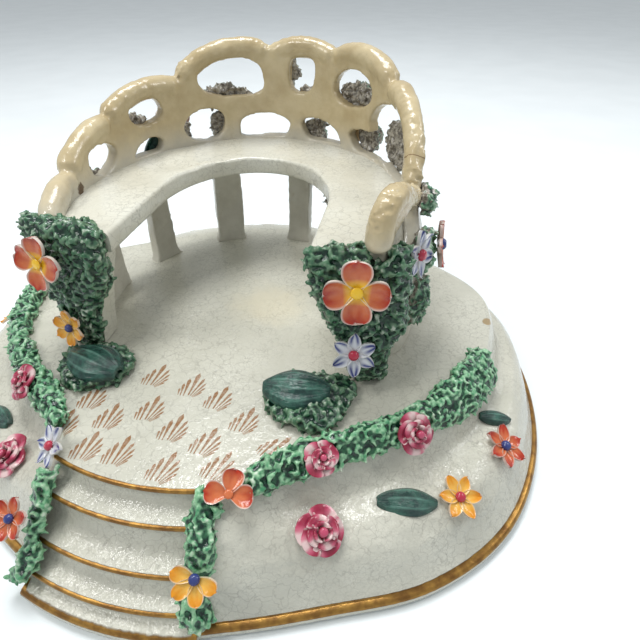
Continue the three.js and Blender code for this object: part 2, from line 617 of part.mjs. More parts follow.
// Garlands of moss along the terrace rim, lying half on the floor and half on the slope. They are
// widest towards the back, and the left one starts further round, clear of the flight.
const GARLAND = { from: { right: -71, left: -65 }, to: -8, stations: 12, middle: 0.03, narrow: 3.3,
  wide: 5.2 }
const RIM_RISE = 0.5        // the terrace's rim stands this much above its floor
const LIFT = 2.8 * JOIN     // room left under the garland, which bridges the base's flat facets
function garland(side) {
  const sign = side === 'right' ? 1 : -1
  const { from, to, stations, middle, narrow, wide } = GARLAND
  const rings = Array.from({ length: stations }, (_, i) => {
    const f = i / (stations - 1)
    const degrees = lerp(from[side], to, f)
    const span = radiusAt(FOOT_RADII, degrees) - SLOPE_EDGE - radiusAt(RIM_RADII, degrees)
    const half = (lerp(narrow, wide, smooth(f, 0.55, 0.85)) + 0.4 * uneven(i, sign)) / span
    const outer = middle + 0.9 * half
    const under = [middle - half, Math.min(0, outer), Math.min(WAY_OUT[1], outer), outer]
    const top = [[outer - 0.1 * half, 2.1], [middle, 3.2], [middle - 0.75 * half, 2.4]]
    return [...under.map((way) => [way, 0]), ...top].map(([way, up], k) => {
      const place = slopePoint(sign > 0 ? degrees : mirrored(degrees), way)
      const low = way <= 0 ? FLOOR + RIM_RISE : place.z
      return place.setZ(low + LIFT + up * (1 + 0.15 * uneven(i, k)))
    })
  })
  return solid(skin(rings))
}

// Moss down both edges of the flight: it lies on the slope and hangs over the well's wall onto
// the steps.
const FLIGHT_MOSS = { from: -71.5, to: -91, stations: 9, outside: 3, inside: 3.6, thick: 2.6 }
function wellHalf(y) {
  const [back, bend, front] = WELL_WALL
  const [low, high] = y > bend[1] ? [back, bend] : [bend, front]
  return FLIGHT_HALF + lerp(low[0], high[0], (low[1] - y) / (low[1] - high[1]))
}

// Height of a line drawn over the nosings, which the steps stay under.
function nosingHeight(y) {
  const out = NOSING_Y + 1.9 - y
  const k = clamp(NOSINGS.findIndex(([o]) => o > out) - 1, 0, NOSINGS.length - 2)
  const [a, b] = [NOSINGS[k], NOSINGS[k + 1]]
  return Math.min(lerp(a[1], b[1], (out - a[0]) / (b[0] - a[0])), FLOOR)
}

function slopeHeightAt(x, y) {
  const degrees = THREE.MathUtils.radToDeg(Math.atan2(y - BOWER_Y, x))
  const rim = radiusAt(RIM_RADII, degrees)
  const way = (Math.hypot(x, y - BOWER_Y) - rim) / (radiusAt(FOOT_RADII, degrees) - SLOPE_EDGE - rim)
  return slopePoint(degrees, clamp(way, -0.05, 0.97)).z
}

function flightMoss(sign) {
  const { from, to, stations, outside, inside, thick } = FLIGHT_MOSS
  const rings = Array.from({ length: stations }, (_, i) => {
    const y = lerp(from, to, i / (stations - 1))
    const wall = wellHalf(y)
    const wave = 0.6 * Math.sin(i * 1.9 + sign)
    const step = nosingHeight(y)
    const slopeAtWall = slopeHeightAt(FLIGHT_X + sign * wall, y)
    const corner = slopeAtWall > step ? -JOIN : 2 * JOIN
    const place = (across, z, raise) => (
      new THREE.Vector3(FLIGHT_X + sign * (wall + across), y, z + 1.5 * JOIN + raise)
    )
    const over = (across, raise) => place(across, slopeHeightAt(FLIGHT_X + sign * (wall + across), y), raise)
    const top = Math.max(slopeAtWall, step)
    return [over(outside + wave, 0), over(corner, 0), place(corner, step, 0), place(-inside + wave, step, 0),
      place(-inside * 0.8 + wave, step, thick), place(-0.6, top, thick),
      over(outside * 0.7 + wave, thick * 0.9)]
  })
  const flatEnd = [[3, 5], [-0.3, 5], [-0.3, 0], [-3.6, 0], [-2.9, 2.6], [-0.6, 7.6], [2.1, 7.4]]
  return solid(lofted(rings, flatEnd))
}

for (const [side, sign] of sides) {
  const onRim = GARLAND_FLOWERS.filter(({ name }) => name.includes(`_${side}`))
  const onFlight = FLIGHT_FLOWERS.filter(({ name }) => name.includes(`_${side}`))
  add(`moss_garland_${side}`, largest(pressed(garland(side), onRim)), MOSS)
  const strip = pressed(flightMoss(sign), [...onRim, ...onFlight])
  add(`moss_flight_${side}`, eased(strip, garland(side)), MOSS)
}

// The pads of moss on the floor, each with a big cupped leaf on it.
const PADS = {
  right: { x: 31.6, y: -37.6, halfX: 12.6, halfY: 10.6, leafX: 28.2, leafY: -37.4, turn: 8 },
  left: { x: -33.4, y: -39.4, halfX: 11.4, halfY: 9.6, leafX: -32.2, leafY: -40.6, turn: -14 }
}
const PAD_THICK = 3.6
for (const [side, sign] of sides) {
  const pad = PADS[side]
  const place = (a, b, up) => new THREE.Vector3(pad.x + a, pad.y + b, FLOOR + JOIN + up)
  const frame = flat(pad.leafX, pad.leafY, PAD_THICK + 2 * JOIN)
  const room = frontMoss(sign).add(bracket(sign, JOIN)).add(garland(side))
  add(`moss_pad_${side}`, eased(cushion(place, pad.halfX, pad.halfY, PAD_THICK, 5 + sign, 12), room), MOSS)
  add(`leaf_floor_${side}`, leaf({ frame, length: 18.6, width: 14.4, thick: 4.4, turn: pad.turn }), LEAF)
}

// Moss pressed on the outside of the trellis, across the lower edges of its openings:
// degrees round the wall, height above the floor, half width, half height, thickness.
const OUTER_MOSS = [
  [114, 54.2, 9, 4.6, 3.6], [117.5, 44.4, 4.2, 4.8, 3.4], [133.5, 43.6, 3.6, 4, 3.2],
  [152, 50.2, 5.2, 3.8, 3.6],
  [87.6, 64, 2.6, 5, 3], [79.5, 56, 4, 2.6, 3], [58, 57, 8.6, 4.4, 3.8], [77, 43.6, 4.2, 3.6, 3.2],
  [50.5, 45, 4.6, 5, 3.4], [31, 48, 9.5, 8.6, 3.6], [172, 38.6, 5.6, 3, 3.2], [66, 22, 5.4, 9, 3.4],
  [-12, 17.5, 5.4, 7.5, 3.4], [2, 43, 6.4, 3.4, 4],
  [-11, 33.5, 9, 6.2, 3.2]
]
const DEGREE = 0.92         // millimetres round the wall in a degree, at its narrowest
OUTER_MOSS.forEach(([degrees, height, halfWide, halfHigh, thick], k) => {
  const frame = onWall(degrees, height)
  const place = (a, b, up) => {
    const near = onWall(degrees - a / DEGREE, height + b)
    return near.origin.addScaledVector(frame.normal, up)
  }
  const own = WALL_FLOWERS.filter(({ frame: f }) => f.origin.distanceTo(frame.origin) < 16)
  const patch = pressed(cushion(place, halfWide, halfHigh, thick, k, 8), own)
  add(`moss_outside_${k + 1}`, eased(patch, trellisRoom), MOSS)
})

const LEAVES = [
  { name: 'leaf_slope_right_front', frame: onSlope(-43.5, 0.5), length: 15.5, width: 7.6, thick: 2.4 },
  { name: 'leaf_slope_right_side', frame: onSlope(-16.8, 0.41, 2 * JOIN), length: 9.6, width: 5.2, thick: 2,
    turn: 10 },
  { name: 'leaf_slope_left_front', frame: onSlope(mirrored(-44), 0.48), length: 14, width: 7, thick: 2.4 },
  { name: 'leaf_back_right', frame: onWall(72, 52, 0.6), length: 12, width: 6, thick: 2.2, turn: 60 },
  { name: 'leaf_back_left', frame: onWall(146, 41, 0.6), length: 12, width: 6, thick: 2.2, turn: -50 }
]
for (const item of LEAVES) add(item.name, leaf(item), LEAF)
for (const list of [FRONT_FLOWERS, GARLAND_FLOWERS, FLIGHT_FLOWERS, SLOPE_FLOWERS, WALL_FLOWERS]) {
  for (const item of list) add(item.name, flower(item), item.glaze)
}

export default group
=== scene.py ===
# A porcelain garden bower: an empty arbour with a bench, on a mound with a flight of steps.
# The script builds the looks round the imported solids. Sizes in the sections are millimetres.
import json
from functools import partial
from math import asin, atan2, cos, exp, hypot, pi, radians, sin

import bmesh
import bpy
import numpy as np
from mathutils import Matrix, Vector, noise

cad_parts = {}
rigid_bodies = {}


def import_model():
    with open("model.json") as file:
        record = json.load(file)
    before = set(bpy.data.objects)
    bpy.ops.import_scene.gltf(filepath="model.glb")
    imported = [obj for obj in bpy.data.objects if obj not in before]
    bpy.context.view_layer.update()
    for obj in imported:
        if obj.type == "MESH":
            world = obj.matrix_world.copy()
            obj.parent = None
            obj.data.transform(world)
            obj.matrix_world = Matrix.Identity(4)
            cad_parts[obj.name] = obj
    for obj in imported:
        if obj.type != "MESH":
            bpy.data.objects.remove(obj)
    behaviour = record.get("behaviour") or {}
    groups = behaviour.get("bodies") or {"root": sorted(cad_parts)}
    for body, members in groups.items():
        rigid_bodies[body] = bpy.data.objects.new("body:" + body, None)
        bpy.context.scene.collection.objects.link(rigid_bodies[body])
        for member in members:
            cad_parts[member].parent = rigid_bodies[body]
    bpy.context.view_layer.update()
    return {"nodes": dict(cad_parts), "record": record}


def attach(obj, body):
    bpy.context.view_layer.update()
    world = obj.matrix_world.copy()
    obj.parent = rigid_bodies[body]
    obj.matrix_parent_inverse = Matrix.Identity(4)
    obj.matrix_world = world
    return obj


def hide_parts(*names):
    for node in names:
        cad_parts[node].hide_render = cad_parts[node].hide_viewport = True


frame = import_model()


# The table, the light and the camera. The table is a plain pale board. A wide soft light hangs
# over the back of the piece, two weak ones stand at its right and one at its front left, and the
# room gives the rest.
MM = 0.001
TABLE_HALF = 4000


def new_light(name, place, size, power, colour, aim=(0, 0, 0.04)):
    light = bpy.data.lights.new(name, "AREA")
    light.shape, light.size, light.energy, light.color = "DISK", size, power, colour
    lamp = bpy.data.objects.new(name, light)
    lamp.location = place
    lamp.rotation_euler = (Vector(place) - Vector(aim)).to_track_quat("Z", "Y").to_euler()
    bpy.context.scene.collection.objects.link(lamp)


new_light("window_light", (-0.1, 0.22, 0.8), 0.36, 4.6, (0.98, 0.99, 1.0))
new_light("side_light", (0.55, 0.3, 0.6), 0.16, 0.3, (0.98, 0.99, 1.0))
new_light("right_lamp", (0.5, 0.2, 0.42), 0.13, 0.6, (1.0, 1.0, 1.0))
new_light("fill_light", (-0.28, -0.24, 0.55), 0.18, 1.2, (1.0, 0.99, 0.96))

world = bpy.data.worlds.new("room")
bpy.context.scene.world = world
world.use_nodes = True
world.node_tree.nodes["Background"].inputs[0].default_value = (0.93, 0.97, 1.0, 1)
world.node_tree.nodes["Background"].inputs[1].default_value = 0.58
bpy.context.scene.view_settings.view_transform = "Standard"

camera = bpy.data.objects.new("camera", bpy.data.cameras.new("camera"))
camera.data.sensor_width, camera.data.lens = 36, 27.02
camera.data.clip_start = 0.005
camera.location = (55.766 * MM, -126.044 * MM, 129.602 * MM)
camera.rotation_mode = "QUATERNION"
camera.rotation_quaternion = Vector((-0.18153, 0.76709, -0.61533)).to_track_quat("-Z", "Y")
bpy.context.scene.collection.objects.link(camera)
bpy.context.scene.camera = camera


def add_node(tree, kind, inputs, **settings):
    """A node with its settings; each input is linked to a socket or set to a plain value."""
    made = tree.nodes.new(kind)
    for name, value in settings.items():
        setattr(made, name, value)
    for key, value in inputs.items():
        if isinstance(value, bpy.types.NodeSocket):
            tree.links.new(value, made.inputs[key])
        else:
            made.inputs[key].default_value = value
    return made


class Glaze:
    """One socket in a glaze's node tree. Sums written on it add Math nodes."""

    def __init__(self, tree, socket=None):
        self.tree = tree
        self.socket = socket

    def node(self, kind, inputs, output=0, **settings):
        plain = {key: value.socket if isinstance(value, Glaze) else value for key, value in inputs.items()}
        made = add_node(self.tree, "ShaderNode" + kind, plain, **settings)
        return Glaze(self.tree, made.outputs[output])

    def sum(self, operation, first, second=0.0):
        return self.node("Math", {0: first, 1: second}, operation=operation)

    def __add__(self, other):
        return self.sum("ADD", self, other)

    def __mul__(self, other):
        return self.sum("MULTIPLY", self, other)

    def __sub__(self, other):
        return self.sum("SUBTRACT", self, other)

    def __rsub__(self, other):
        return self.sum("SUBTRACT", other, self)

    __radd__ = __add__
    __rmul__ = __mul__

    def rise(self, low, high):
        """0 below low, 1 above high and a soft step between them; turned round if high is lower."""
        if high < low:
            return 1 - self.rise(high, low)
        ends = {0: self, 1: low, 2: high, 3: 0.0, 4: 1.0}
        return self.node("MapRange", ends, interpolation_type="SMOOTHSTEP")

    def over(self, top, under):
        """Two colours mixed, with this socket as the share of the top one."""
        colours = {0: self}
        for key, colour in ((6, under), (7, top)):
            colours[key] = colour if isinstance(colour, Glaze) else (*colour, 1)
        return self.node("Mix", colours, output=2, data_type="RGBA")


def new_glaze(name, roughness):
    """A glossy glazed material; returns it with its shader and a maker for its nodes."""
    material = bpy.data.materials.new(name)
    material.use_nodes = True
    shader = material.node_tree.nodes["Principled BSDF"]
    shader.inputs["Roughness"].default_value = roughness
    shader.inputs["IOR"].default_value = 1.5
    return material, shader, Glaze(material.node_tree)


def millimetres(glaze):
    """Object coordinates in millimetres, as one vector."""
    place = glaze.node("TexCoord", {}, output=3)
    return glaze.node("VectorMath", {0: place, 3: 1000.0}, operation="SCALE")


def across_back_up(vector):
    """The three numbers of a vector."""
    return [vector.node("SeparateXYZ", {0: vector}, output=k) for k in range(3)]


def away_from(place, spot):
    return place.node("VectorMath", {0: place, 1: spot}, output=1, operation="DISTANCE")


def grain(vector, scale, detail=2.0, rough=0.5):
    values = {"Vector": vector, "Scale": scale, "Detail": detail, "Roughness": rough}
    return vector.node("TexNoise", values)


def feed(shader, **sockets):
    for name, value in sockets.items():
        value.tree.links.new(value.socket, shader.inputs[name.replace("_", " ")])


def set_bump(shader, height, strength, deep):
    feed(shader, Normal=height.node("Bump", {"Height": height, "Strength": strength, "Distance": deep}))


def new_piece(name, points, faces, sharp=40):
    """A closed mesh from points in millimetres, its faces turned outwards and smoothly shaded."""
    mesh = bpy.data.meshes.new(name)
    mesh.from_pydata([tuple(c * MM for c in p) for p in points], [], faces)
    turned = bmesh.new()
    turned.from_mesh(mesh)
    bmesh.ops.recalc_face_normals(turned, faces=turned.faces)
    turned.to_mesh(mesh)
    turned.free()
    mesh.shade_smooth()
    mesh.set_sharp_from_angle(angle=radians(sharp))
    piece = bpy.data.objects.new(name, mesh)
    bpy.context.scene.collection.objects.link(piece)
    return piece


table_corners = [(TABLE_HALF * i, TABLE_HALF * j, 0) for i, j in ((-1, -1), (1, -1), (1, 1), (-1, 1))]
table = new_piece("table", table_corners, [(0, 1, 2, 3)])
table_paint, shader, glaze = new_glaze("table_paint", 0.55)
cloudy = grain(millimetres(glaze), 0.02)
feed(shader, Base_Color=cloudy.rise(0.3, 0.7).over((0.80, 0.84, 0.85), (0.77, 0.81, 0.82)))
table.data.materials.append(table_paint)


# The base: a mound with a flat terrace and a rolled foot, pressed in a mould with its flight of
# four steps. White crackled glaze, gilt nosings and foot line, and gilt sprigs on the terrace.
FLOOR = 29.0
BOWER_Y = 3.2
FOOT = 3.9
SLOPE_EDGE = 1.8
RIM_RADII = [76, 74.5, 68.8, 69.8, 74.2, 78.8, 81.6, 83, 76, 66, 61, 59, 58.5, 58.5, 59, 61, 65, 74, 79.5,
             78.8, 74.2, 69.8, 68.8, 74.5]
FOOT_RADII = [98.6, 95.2, 95.6, 101, 104.2, 103.6, 102, 100.6, 98.4, 96, 94, 92.6, 92.2, 92.6, 94, 96,
              98.4, 100.6, 102, 103.6, 104.2, 101, 95.6, 95.2]
WAY_OUT = [0, 0.08, 0.17, 0.28, 0.4, 0.54, 0.68, 0.81, 0.92, 1]
COVE_AND_PILLOW = [29.5, 27.6, 22.8, 18.8, 18.2, 18.3, 16.6, 12.4, 6.8, FOOT]
FULL_SHOULDER = [29.5, 29.1, 28.4, 27.3, 25.4, 22.6, 18.4, 13, 7.6, FOOT]
PLAIN_BACK = [29, 28.6, 27.7, 26, 23.4, 19.8, 15.2, 10.8, 6.3, FOOT]


def lerp(a, b, f):
    return a + (b - a) * f


def smooth(x, low, high):
    f = min(max((x - low) / (high - low), 0.0), 1.0)
    return f * f * (3 - 2 * f)


def radius_at(radii, degrees):
    """A radius round the base, on a smooth closed curve through the values, from the front."""
    place = ((degrees + 90) % 360) * len(radii) / 360
    i = int(place)
    f = place - i
    a, b, c, d = (radii[(i + k) % len(radii)] for k in (-1, 0, 1, 2))
    return b + 0.5 * f * (c - a + f * (2 * a - 5 * b + 4 * c - d + f * (3 * (b - c) + d - a)))


def softened(heights, steps, passes=6):
    """The profile at even shares of the way out, with its corners rubbed soft."""
    ways = np.linspace(0, 1, steps + 1)
    fine = np.interp(ways, WAY_OUT, heights)
    for _ in range(passes):
        fine[1:-1] = (fine[:-2] + 2 * fine[1:-1] + fine[2:]) / 4
    return fine


PROFILE_STEPS = 60
LUMPS = [(0.11, 0.7), (0.27, 0.3), (0.6, 0.16)]
COVE, SHOULDER, BACK = (softened(p, PROFILE_STEPS) for p in (COVE_AND_PILLOW, FULL_SHOULDER, PLAIN_BACK))


def off_front(degrees):
    """How many degrees an angle is away from straight ahead."""
    return abs(((degrees + 90 + 180) % 360) - 180)


def rim_rise(degrees):
    """How much of the terrace's raised edge is left; it dies away behind the flight."""
    return smooth(off_front(degrees), 25, 33)


def slope_point(degrees, k):
    """A point on the mound: an angle round the horseshoe's centre and a step of the profile."""
    off = off_front(degrees)
    full = 1 - smooth(off, 12, 34)
    height = lerp(lerp(COVE[k], SHOULDER[k], full), BACK[k], smooth(off, 96, 138))
    height -= 0.5 * (1 - rim_rise(degrees)) * (1 - smooth(k, 0, 20))
    foot = radius_at(FOOT_RADII, degrees) - SLOPE_EDGE
    reach = lerp(radius_at(RIM_RADII, degrees), foot, k / PROFILE_STEPS)
    a = radians(degrees)
    x, y = reach * cos(a), reach * sin(a)
    spot = Vector((x, y, height))
    lump = sum(noise.noise(spot * often) * tall for often, tall in LUMPS)
    return x, y + BOWER_Y, height + lump * smooth(k, 2, 10) * (1 - smooth(k, 50, PROFILE_STEPS))


def skin(rings):
    """Joins rings of points into a closed skin with one face over each end."""
    count = len(rings[0])
    faces = []
    for r in range(len(rings) - 1):
        for i in range(count):
            j = (i + 1) % count
            faces.append((r * count + i, r * count + j, (r + 1) * count + j, (r + 1) * count + i))
    last = (len(rings) - 1) * count
    faces.append(tuple(range(count)))
    faces.append(tuple(range(last, last + count)))
    return [p for ring in rings for p in ring], faces


BASE_SIDES = 240
around = [k * 360 / BASE_SIDES for k in range(BASE_SIDES)]


def level_ring(radii, inside, height, rise=0.0):
    ring = []
    for d in around:
        reach, a = radius_at(radii, d) - inside, radians(d)
        ring.append((reach * cos(a), reach * sin(a) + BOWER_Y, height + rise * rim_rise(d)))
    return ring


# the terrace's edge: how far inside the rim and how much higher; the foot bead: inside and height
TERRACE_EDGE = [(6, 0), (3.5, 0.12), (1.5, 0.4)]
FOOT_BEAD = [(1.1, 3.86), (0.6, 3.6), (0.2, 3.1), (0, 2.4), (0.05, 1.4), (0.4, 0.35), (0.8, 0)]
rings = [level_ring(RIM_RADII, inside, FLOOR, rise) for inside, rise in TERRACE_EDGE]
rings += [[slope_point(d, k) for d in around] for k in range(PROFILE_STEPS + 1)]
rings += [level_ring(FOOT_RADII, inside, height) for inside, height in FOOT_BEAD]
base = new_piece("porcelain_base", *skin(rings), sharp=60)

FLIGHT_X = -5.0
FLIGHT_HALF = 21.5
FLIGHT_RADIUS = 70.0
NOSING_Y = -73.1
FLIGHT_Y = NOSING_Y + FLIGHT_RADIUS
FLIGHT_BACK = -14
# nosings: how far out and how high; the roll of a nosing: back from its edge and down from its top
NOSINGS = [(0, 29), (5.8, 22.7), (13.1, 13.9), (18.6, 7.6)]
NOSE = 1.5
NOSE_ROLL = [(0.9, 0), (0.35, 0.08), (0.08, 0.35), (0, 0.8), (0.12, 1.2), (0.4, NOSE)]
FLIGHT_FOOT = [(20.6, FOOT + 0.2), (21.6, FOOT - 0.05), (22.3, 3.3), (22.6, 2.4), (22.5, 1), (22.1, 0)]
# how far round its curve the flight goes each way; the well cuts its sides to their final width
FLIGHT_WIDE = asin(24.5 / 65)


def flight_profile():
    profile = [(FLIGHT_BACK, 0), (FLIGHT_BACK, FLOOR)]
    for k, (out, height) in enumerate(NOSINGS):
        after = NOSINGS[k + 1] if k < 3 else (20.4, FOOT + 0.3)
        profile += [(out - back, height - down) for back, down in NOSE_ROLL]
        start = (out - 0.9, height - NOSE - 0.5)
        for f in np.linspace(0, 0.92, 11):
            across = lerp(start[0], after[0] - 0.9, f * f)
            profile.append((across, lerp(start[1], after[1] + 0.1, 1 - (1 - f) ** 1.8)))
    return profile + FLIGHT_FOOT


flight_rings = []
FLIGHT_STEPS = 60
for k in range(FLIGHT_STEPS + 1):
    angle = FLIGHT_WIDE * (2 * k / FLIGHT_STEPS - 1)
    flight_rings.append([(FLIGHT_X + (FLIGHT_RADIUS + out) * sin(angle),
                          FLIGHT_Y - (FLIGHT_RADIUS + out) * cos(angle), height)
                         for out, height in flight_profile()])
flight = new_piece("flight", *skin(flight_rings))


def well(ease):
    """The well that the flight fills, a little wider towards the front."""
    half = FLIGHT_HALF + ease
    right = [(half, -67 + ease), (half + 0.6, -84), (half + 3.4, -104)]
    outline = [(FLIGHT_X - x, y) for x, y in right] + [(FLIGHT_X + x, y) for x, y in reversed(right)]
    return new_piece("well", *skin([[(x, y, z) for x, y in outline] for z in (-1 - ease, FLOOR + 5)]))


def cut(piece, tool, operation):
    modifier = piece.modifiers.new(operation, "BOOLEAN")
    modifier.operation, modifier.object, modifier.solver = operation, tool, "EXACT"
    settle(piece)
    bpy.data.objects.remove(tool)


def settle(piece):
    """Turns what the modifiers show into the piece's own plain mesh."""
    shown = piece.evaluated_get(bpy.context.evaluated_depsgraph_get())
    mesh = bpy.data.meshes.new_from_object(shown)
    piece.modifiers.clear()
    piece.data = mesh
    mesh.name = piece.name


def dress(piece, material, slot, *nodes):
    """Gives a finished piece its glaze and its place on the part."""
    piece.data.materials.clear()
    piece.data.materials.append(material)
    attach(piece, "root")
    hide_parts(*nodes)


cut(flight, well(0.2), "INTERSECT")
cut(base, well(0), "DIFFERENCE")
cut(base, flight, "UNION")
base.data.shade_smooth()
base.data.set_sharp_from_angle(angle=radians(50))


def crackle(place, scale, width):
    """Lines between the islands of a crazed glaze, 1 on a line."""
    bent = place.node("TexNoise", {"Vector": place, "Scale": scale * 1.7, "Detail": 1.0}, output=1)
    moved = place.node("VectorMath", {0: bent, 1: (0.9 / scale,) * 3, 2: place}, operation="MULTIPLY_ADD")
    edge = place.node("TexVoronoi", {"Vector": moved, "Scale": scale}, feature="DISTANCE_TO_EDGE")
    return edge.rise(width * scale, 0.0)


def specks(place, scale, size):
    """Small dark specks, in about a tenth of the cells."""
    spots, middles = (place.node("TexVoronoi", {"Vector": place, "Scale": scale}, output=k) for k in (0, 2))
    chance = place.node("TexWhiteNoise", {"Vector": middles})
    return spots.rise(size * scale, size * scale * 0.6) * chance.rise(0.88, 0.9)


def white_body(place, light=(0.60, 0.59, 0.505), dull=(0.49, 0.48, 0.405)):
    """The white ware's colour: cloudy, with grey crazing and specks in the glaze."""
    clouds = grain(place, 0.045, 4.0, 0.6).rise(0.3, 0.72)
    colour = clouds.over(light, dull)
    lines = crackle(place, 0.3, 0.2) * grain(place, 0.06).rise(0.3, 0.55)
    fine = crackle(place, 0.7, 0.13) * grain(place, 0.09).rise(0.42, 0.62)
    colour = (lines * 0.34 + fine * 0.26).over((0.24, 0.225, 0.19), colour)
    return specks(place, 0.14, 0.16).over((0.09, 0.07, 0.05), colour)


white_glaze, shader, glaze = new_glaze("white_crackle_glaze", 0.16)
place = millimetres(glaze)
x, y, z = across_back_up(place)
wobble = (grain(place, 0.5, 2.0) - 0.5) * 0.7
from_middle = glaze.sum("ABSOLUTE", x - FLIGHT_X)
inside_well = from_middle.rise(FLIGHT_HALF + 0.9, FLIGHT_HALF + 0.5) * y.rise(-60, -62)
foot_line = (z + wobble * 0.4).rise(2.75, 2.95) * (z + wobble * 0.3 + inside_well * 0.45).rise(4.45, 4.3)
dx, dy = x - FLIGHT_X, y - FLIGHT_Y
out = glaze.sum("SQRT", dx * dx + dy * dy) - FLIGHT_RADIUS
nosing_lines = out * 0.0
for nose_out, nose_height in NOSINGS:
    near_edge = (out + wobble * 0.4).rise(nose_out - 0.95, nose_out - 0.75)
    near_edge = near_edge * out.rise(nose_out + 0.5, nose_out + 0.3)
    near_top = (z + wobble * 0.25).rise(nose_height - 1.25, nose_height - 1.1)
    nosing_lines = nosing_lines + near_edge * near_top * z.rise(nose_height + 0.5, nose_height + 0.3)
gilt = glaze.sum("MINIMUM", foot_line + nosing_lines * inside_well, 1.0)

# each sprig: middle across and back, and how much it is turned
SPRIGS = [(-14.7, -38, 0), (-2.6, -39.3, 4), (6.8, -42.3, -4), (16.7, -48.1, -6), (27.3, -54.8, -30),
          (-10, -50.1, 4), (-0.7, -54.9, 0), (9.5, -57.1, -6), (15.5, -63.2, -12), (-19.5, -55.2, 6),
          (-10.7, -64.7, 2), (2.6, -66.6, -6), (-19.4, -65.2, 4), (-28, -50, 8), (-30, -60, 8)]
SPRIG_REACH = 7.0
SPRIG_TURN = 13
across, along, nearest = x * 0.0 + 50.0, y * 0.0, x * 0.0 + SPRIG_REACH * SPRIG_REACH
for sprig_x, sprig_y, turn in SPRIGS:
    dx, dy = x - sprig_x, y - sprig_y
    away = dx * dx + dy * dy
    closer = glaze.sum("LESS_THAN", away, nearest)
    nearest = glaze.sum("MINIMUM", away, nearest)
    c, s = cos(radians(turn + SPRIG_TURN)), sin(radians(turn + SPRIG_TURN))
    across = across + closer * (dx * c + dy * s - across)
    along = along + closer * (dy * c - dx * s - along)
# strokes of the brush: where each begins and ends, across and back, and its half width
STROKES = [(-3.8, -3.3, -3.6, -0.6, 0.4), (-3.1, -3.7, -2.6, 1.2, 0.54), (-2.2, -3.9, -1.1, 3.1, 0.68),
           (-0.9, -3.9, 1.5, 5.2, 0.84), (-0.3, -4.0, 3.2, 2.8, 0.52), (0.1, -4.2, 3.8, 0.8, 0.42),
           (0.3, -4.4, 3.8, -1.0, 0.38), (0.5, -4.6, 3.0, -2.6, 0.3)]
sprigs = across * 0.0
for x0, y0, x1, y1, half in STROKES:
    length = hypot(x1 - x0, y1 - y0)
    ux, uy = (x1 - x0) / length, (y1 - y0) / length
    share = ((across - x0) * ux + (along - y0) * uy) * (1 / length)
    aside = glaze.sum("ABSOLUTE", (along - y0) * ux - (across - x0) * uy)
    body = (0.25 + 1.5 * share * share - 0.75 * share * share * share) * share.rise(1.02, 0.82) * half
    stroke = (aside - body).rise(0.07, -0.07) * share.rise(0.0, 0.06) * share.rise(1.03, 1.0)
    sprigs = glaze.sum("MAXIMUM", sprigs, stroke)
on_terrace = z.rise(FLOOR - 0.6, FLOOR - 0.4) * y.rise(-28, -30)
sprigs = sprigs * on_terrace

colour = white_body(place)
# a yellowish stain over the middle of the terrace floor, which is also painted shade under the bench and
# trellis
dx, dy = x - 6, y - 4
floor_stain_and_shade = glaze.sum("SQRT", dx * dx + dy * dy * 1.4) + grain(place, 0.12, 3.0) * 18
floor_stain_and_shade = floor_stain_and_shade.rise(28, 14)
colour = (floor_stain_and_shade * z.rise(28, 28.6) * 0.4).over((0.62, 0.55, 0.38), colour)
sprig_thin = grain(place, 1.4, 2.0).rise(0.25, 0.7)
chip = away_from(place, (81.2, 11, 29.4))
colour = (chip + wobble * 2).rise(1.9, 1.4).over((0.36, 0.27, 0.15), colour)
colour = (sprigs * (0.7 + 0.3 * sprig_thin)).over((0.26, 0.125, 0.05), colour)
gold_tone = grain(place, 0.35, 3.0).rise(0.3, 0.75).over((0.41, 0.225, 0.05), (0.19, 0.09, 0.022))
colour = gilt.over(gold_tone, colour)
feed(shader, Base_Color=colour, Metallic=gilt * 0.7, Roughness=0.13 + gilt * 0.22)
wet = grain(place, 0.34, 4.0, 0.6) * (0.45 + 0.55 * z.rise(28.6, 27.0))
wet = wet + grain(place, 1.0, 2.0) * 0.12 - crackle(place, 0.34, 0.1) * 0.05
set_bump(shader, wet * (1 - gilt * 0.7), 0.6, 0.0009)
dress(base, white_glaze, "white_glaze", "base")


# The trellis: a horseshoe wall of clay, pierced with a knife and edged with a rolled rim in lobes.
# It leans back a little. Ivory wash above the bench, greyer and whiter on the posts under it.
BOWER_TURN = radians(3)
WALL = 4.8
ROLL = 3.6
TRELLIS_ENDS = (-30, 210)
# the scroll at the end of the right arm: degrees and heights along it, from its foot
SCROLL = [(-30, 42.5), (-30.4, 45.5), (-30.2, 49.5), (-28.4, 53.2), (-24.5, 54.8), (-20, 53.4), (-15, 50.8),
          (-9, 47.8), (-2, 45), (4, 43.4)]
# lobes of the rim: degrees from and to, heights of the ends, rise; the first takes in the scroll
LOBES = [(-30, 4, 39, 42, 12.5), (2, 36.5, 43, 62.5, 7.5), (36, 67.5, 63.5, 67.2, 6),
         (67, 96, 67.2, 66.8, 4.6), (95.5, 133, 66.6, 60, 7.6), (132.5, 164, 58.8, 54, 4.8),
         (163.6, 187, 53, 45, 3.6), (186, 207, 43, 38, 3.4)]
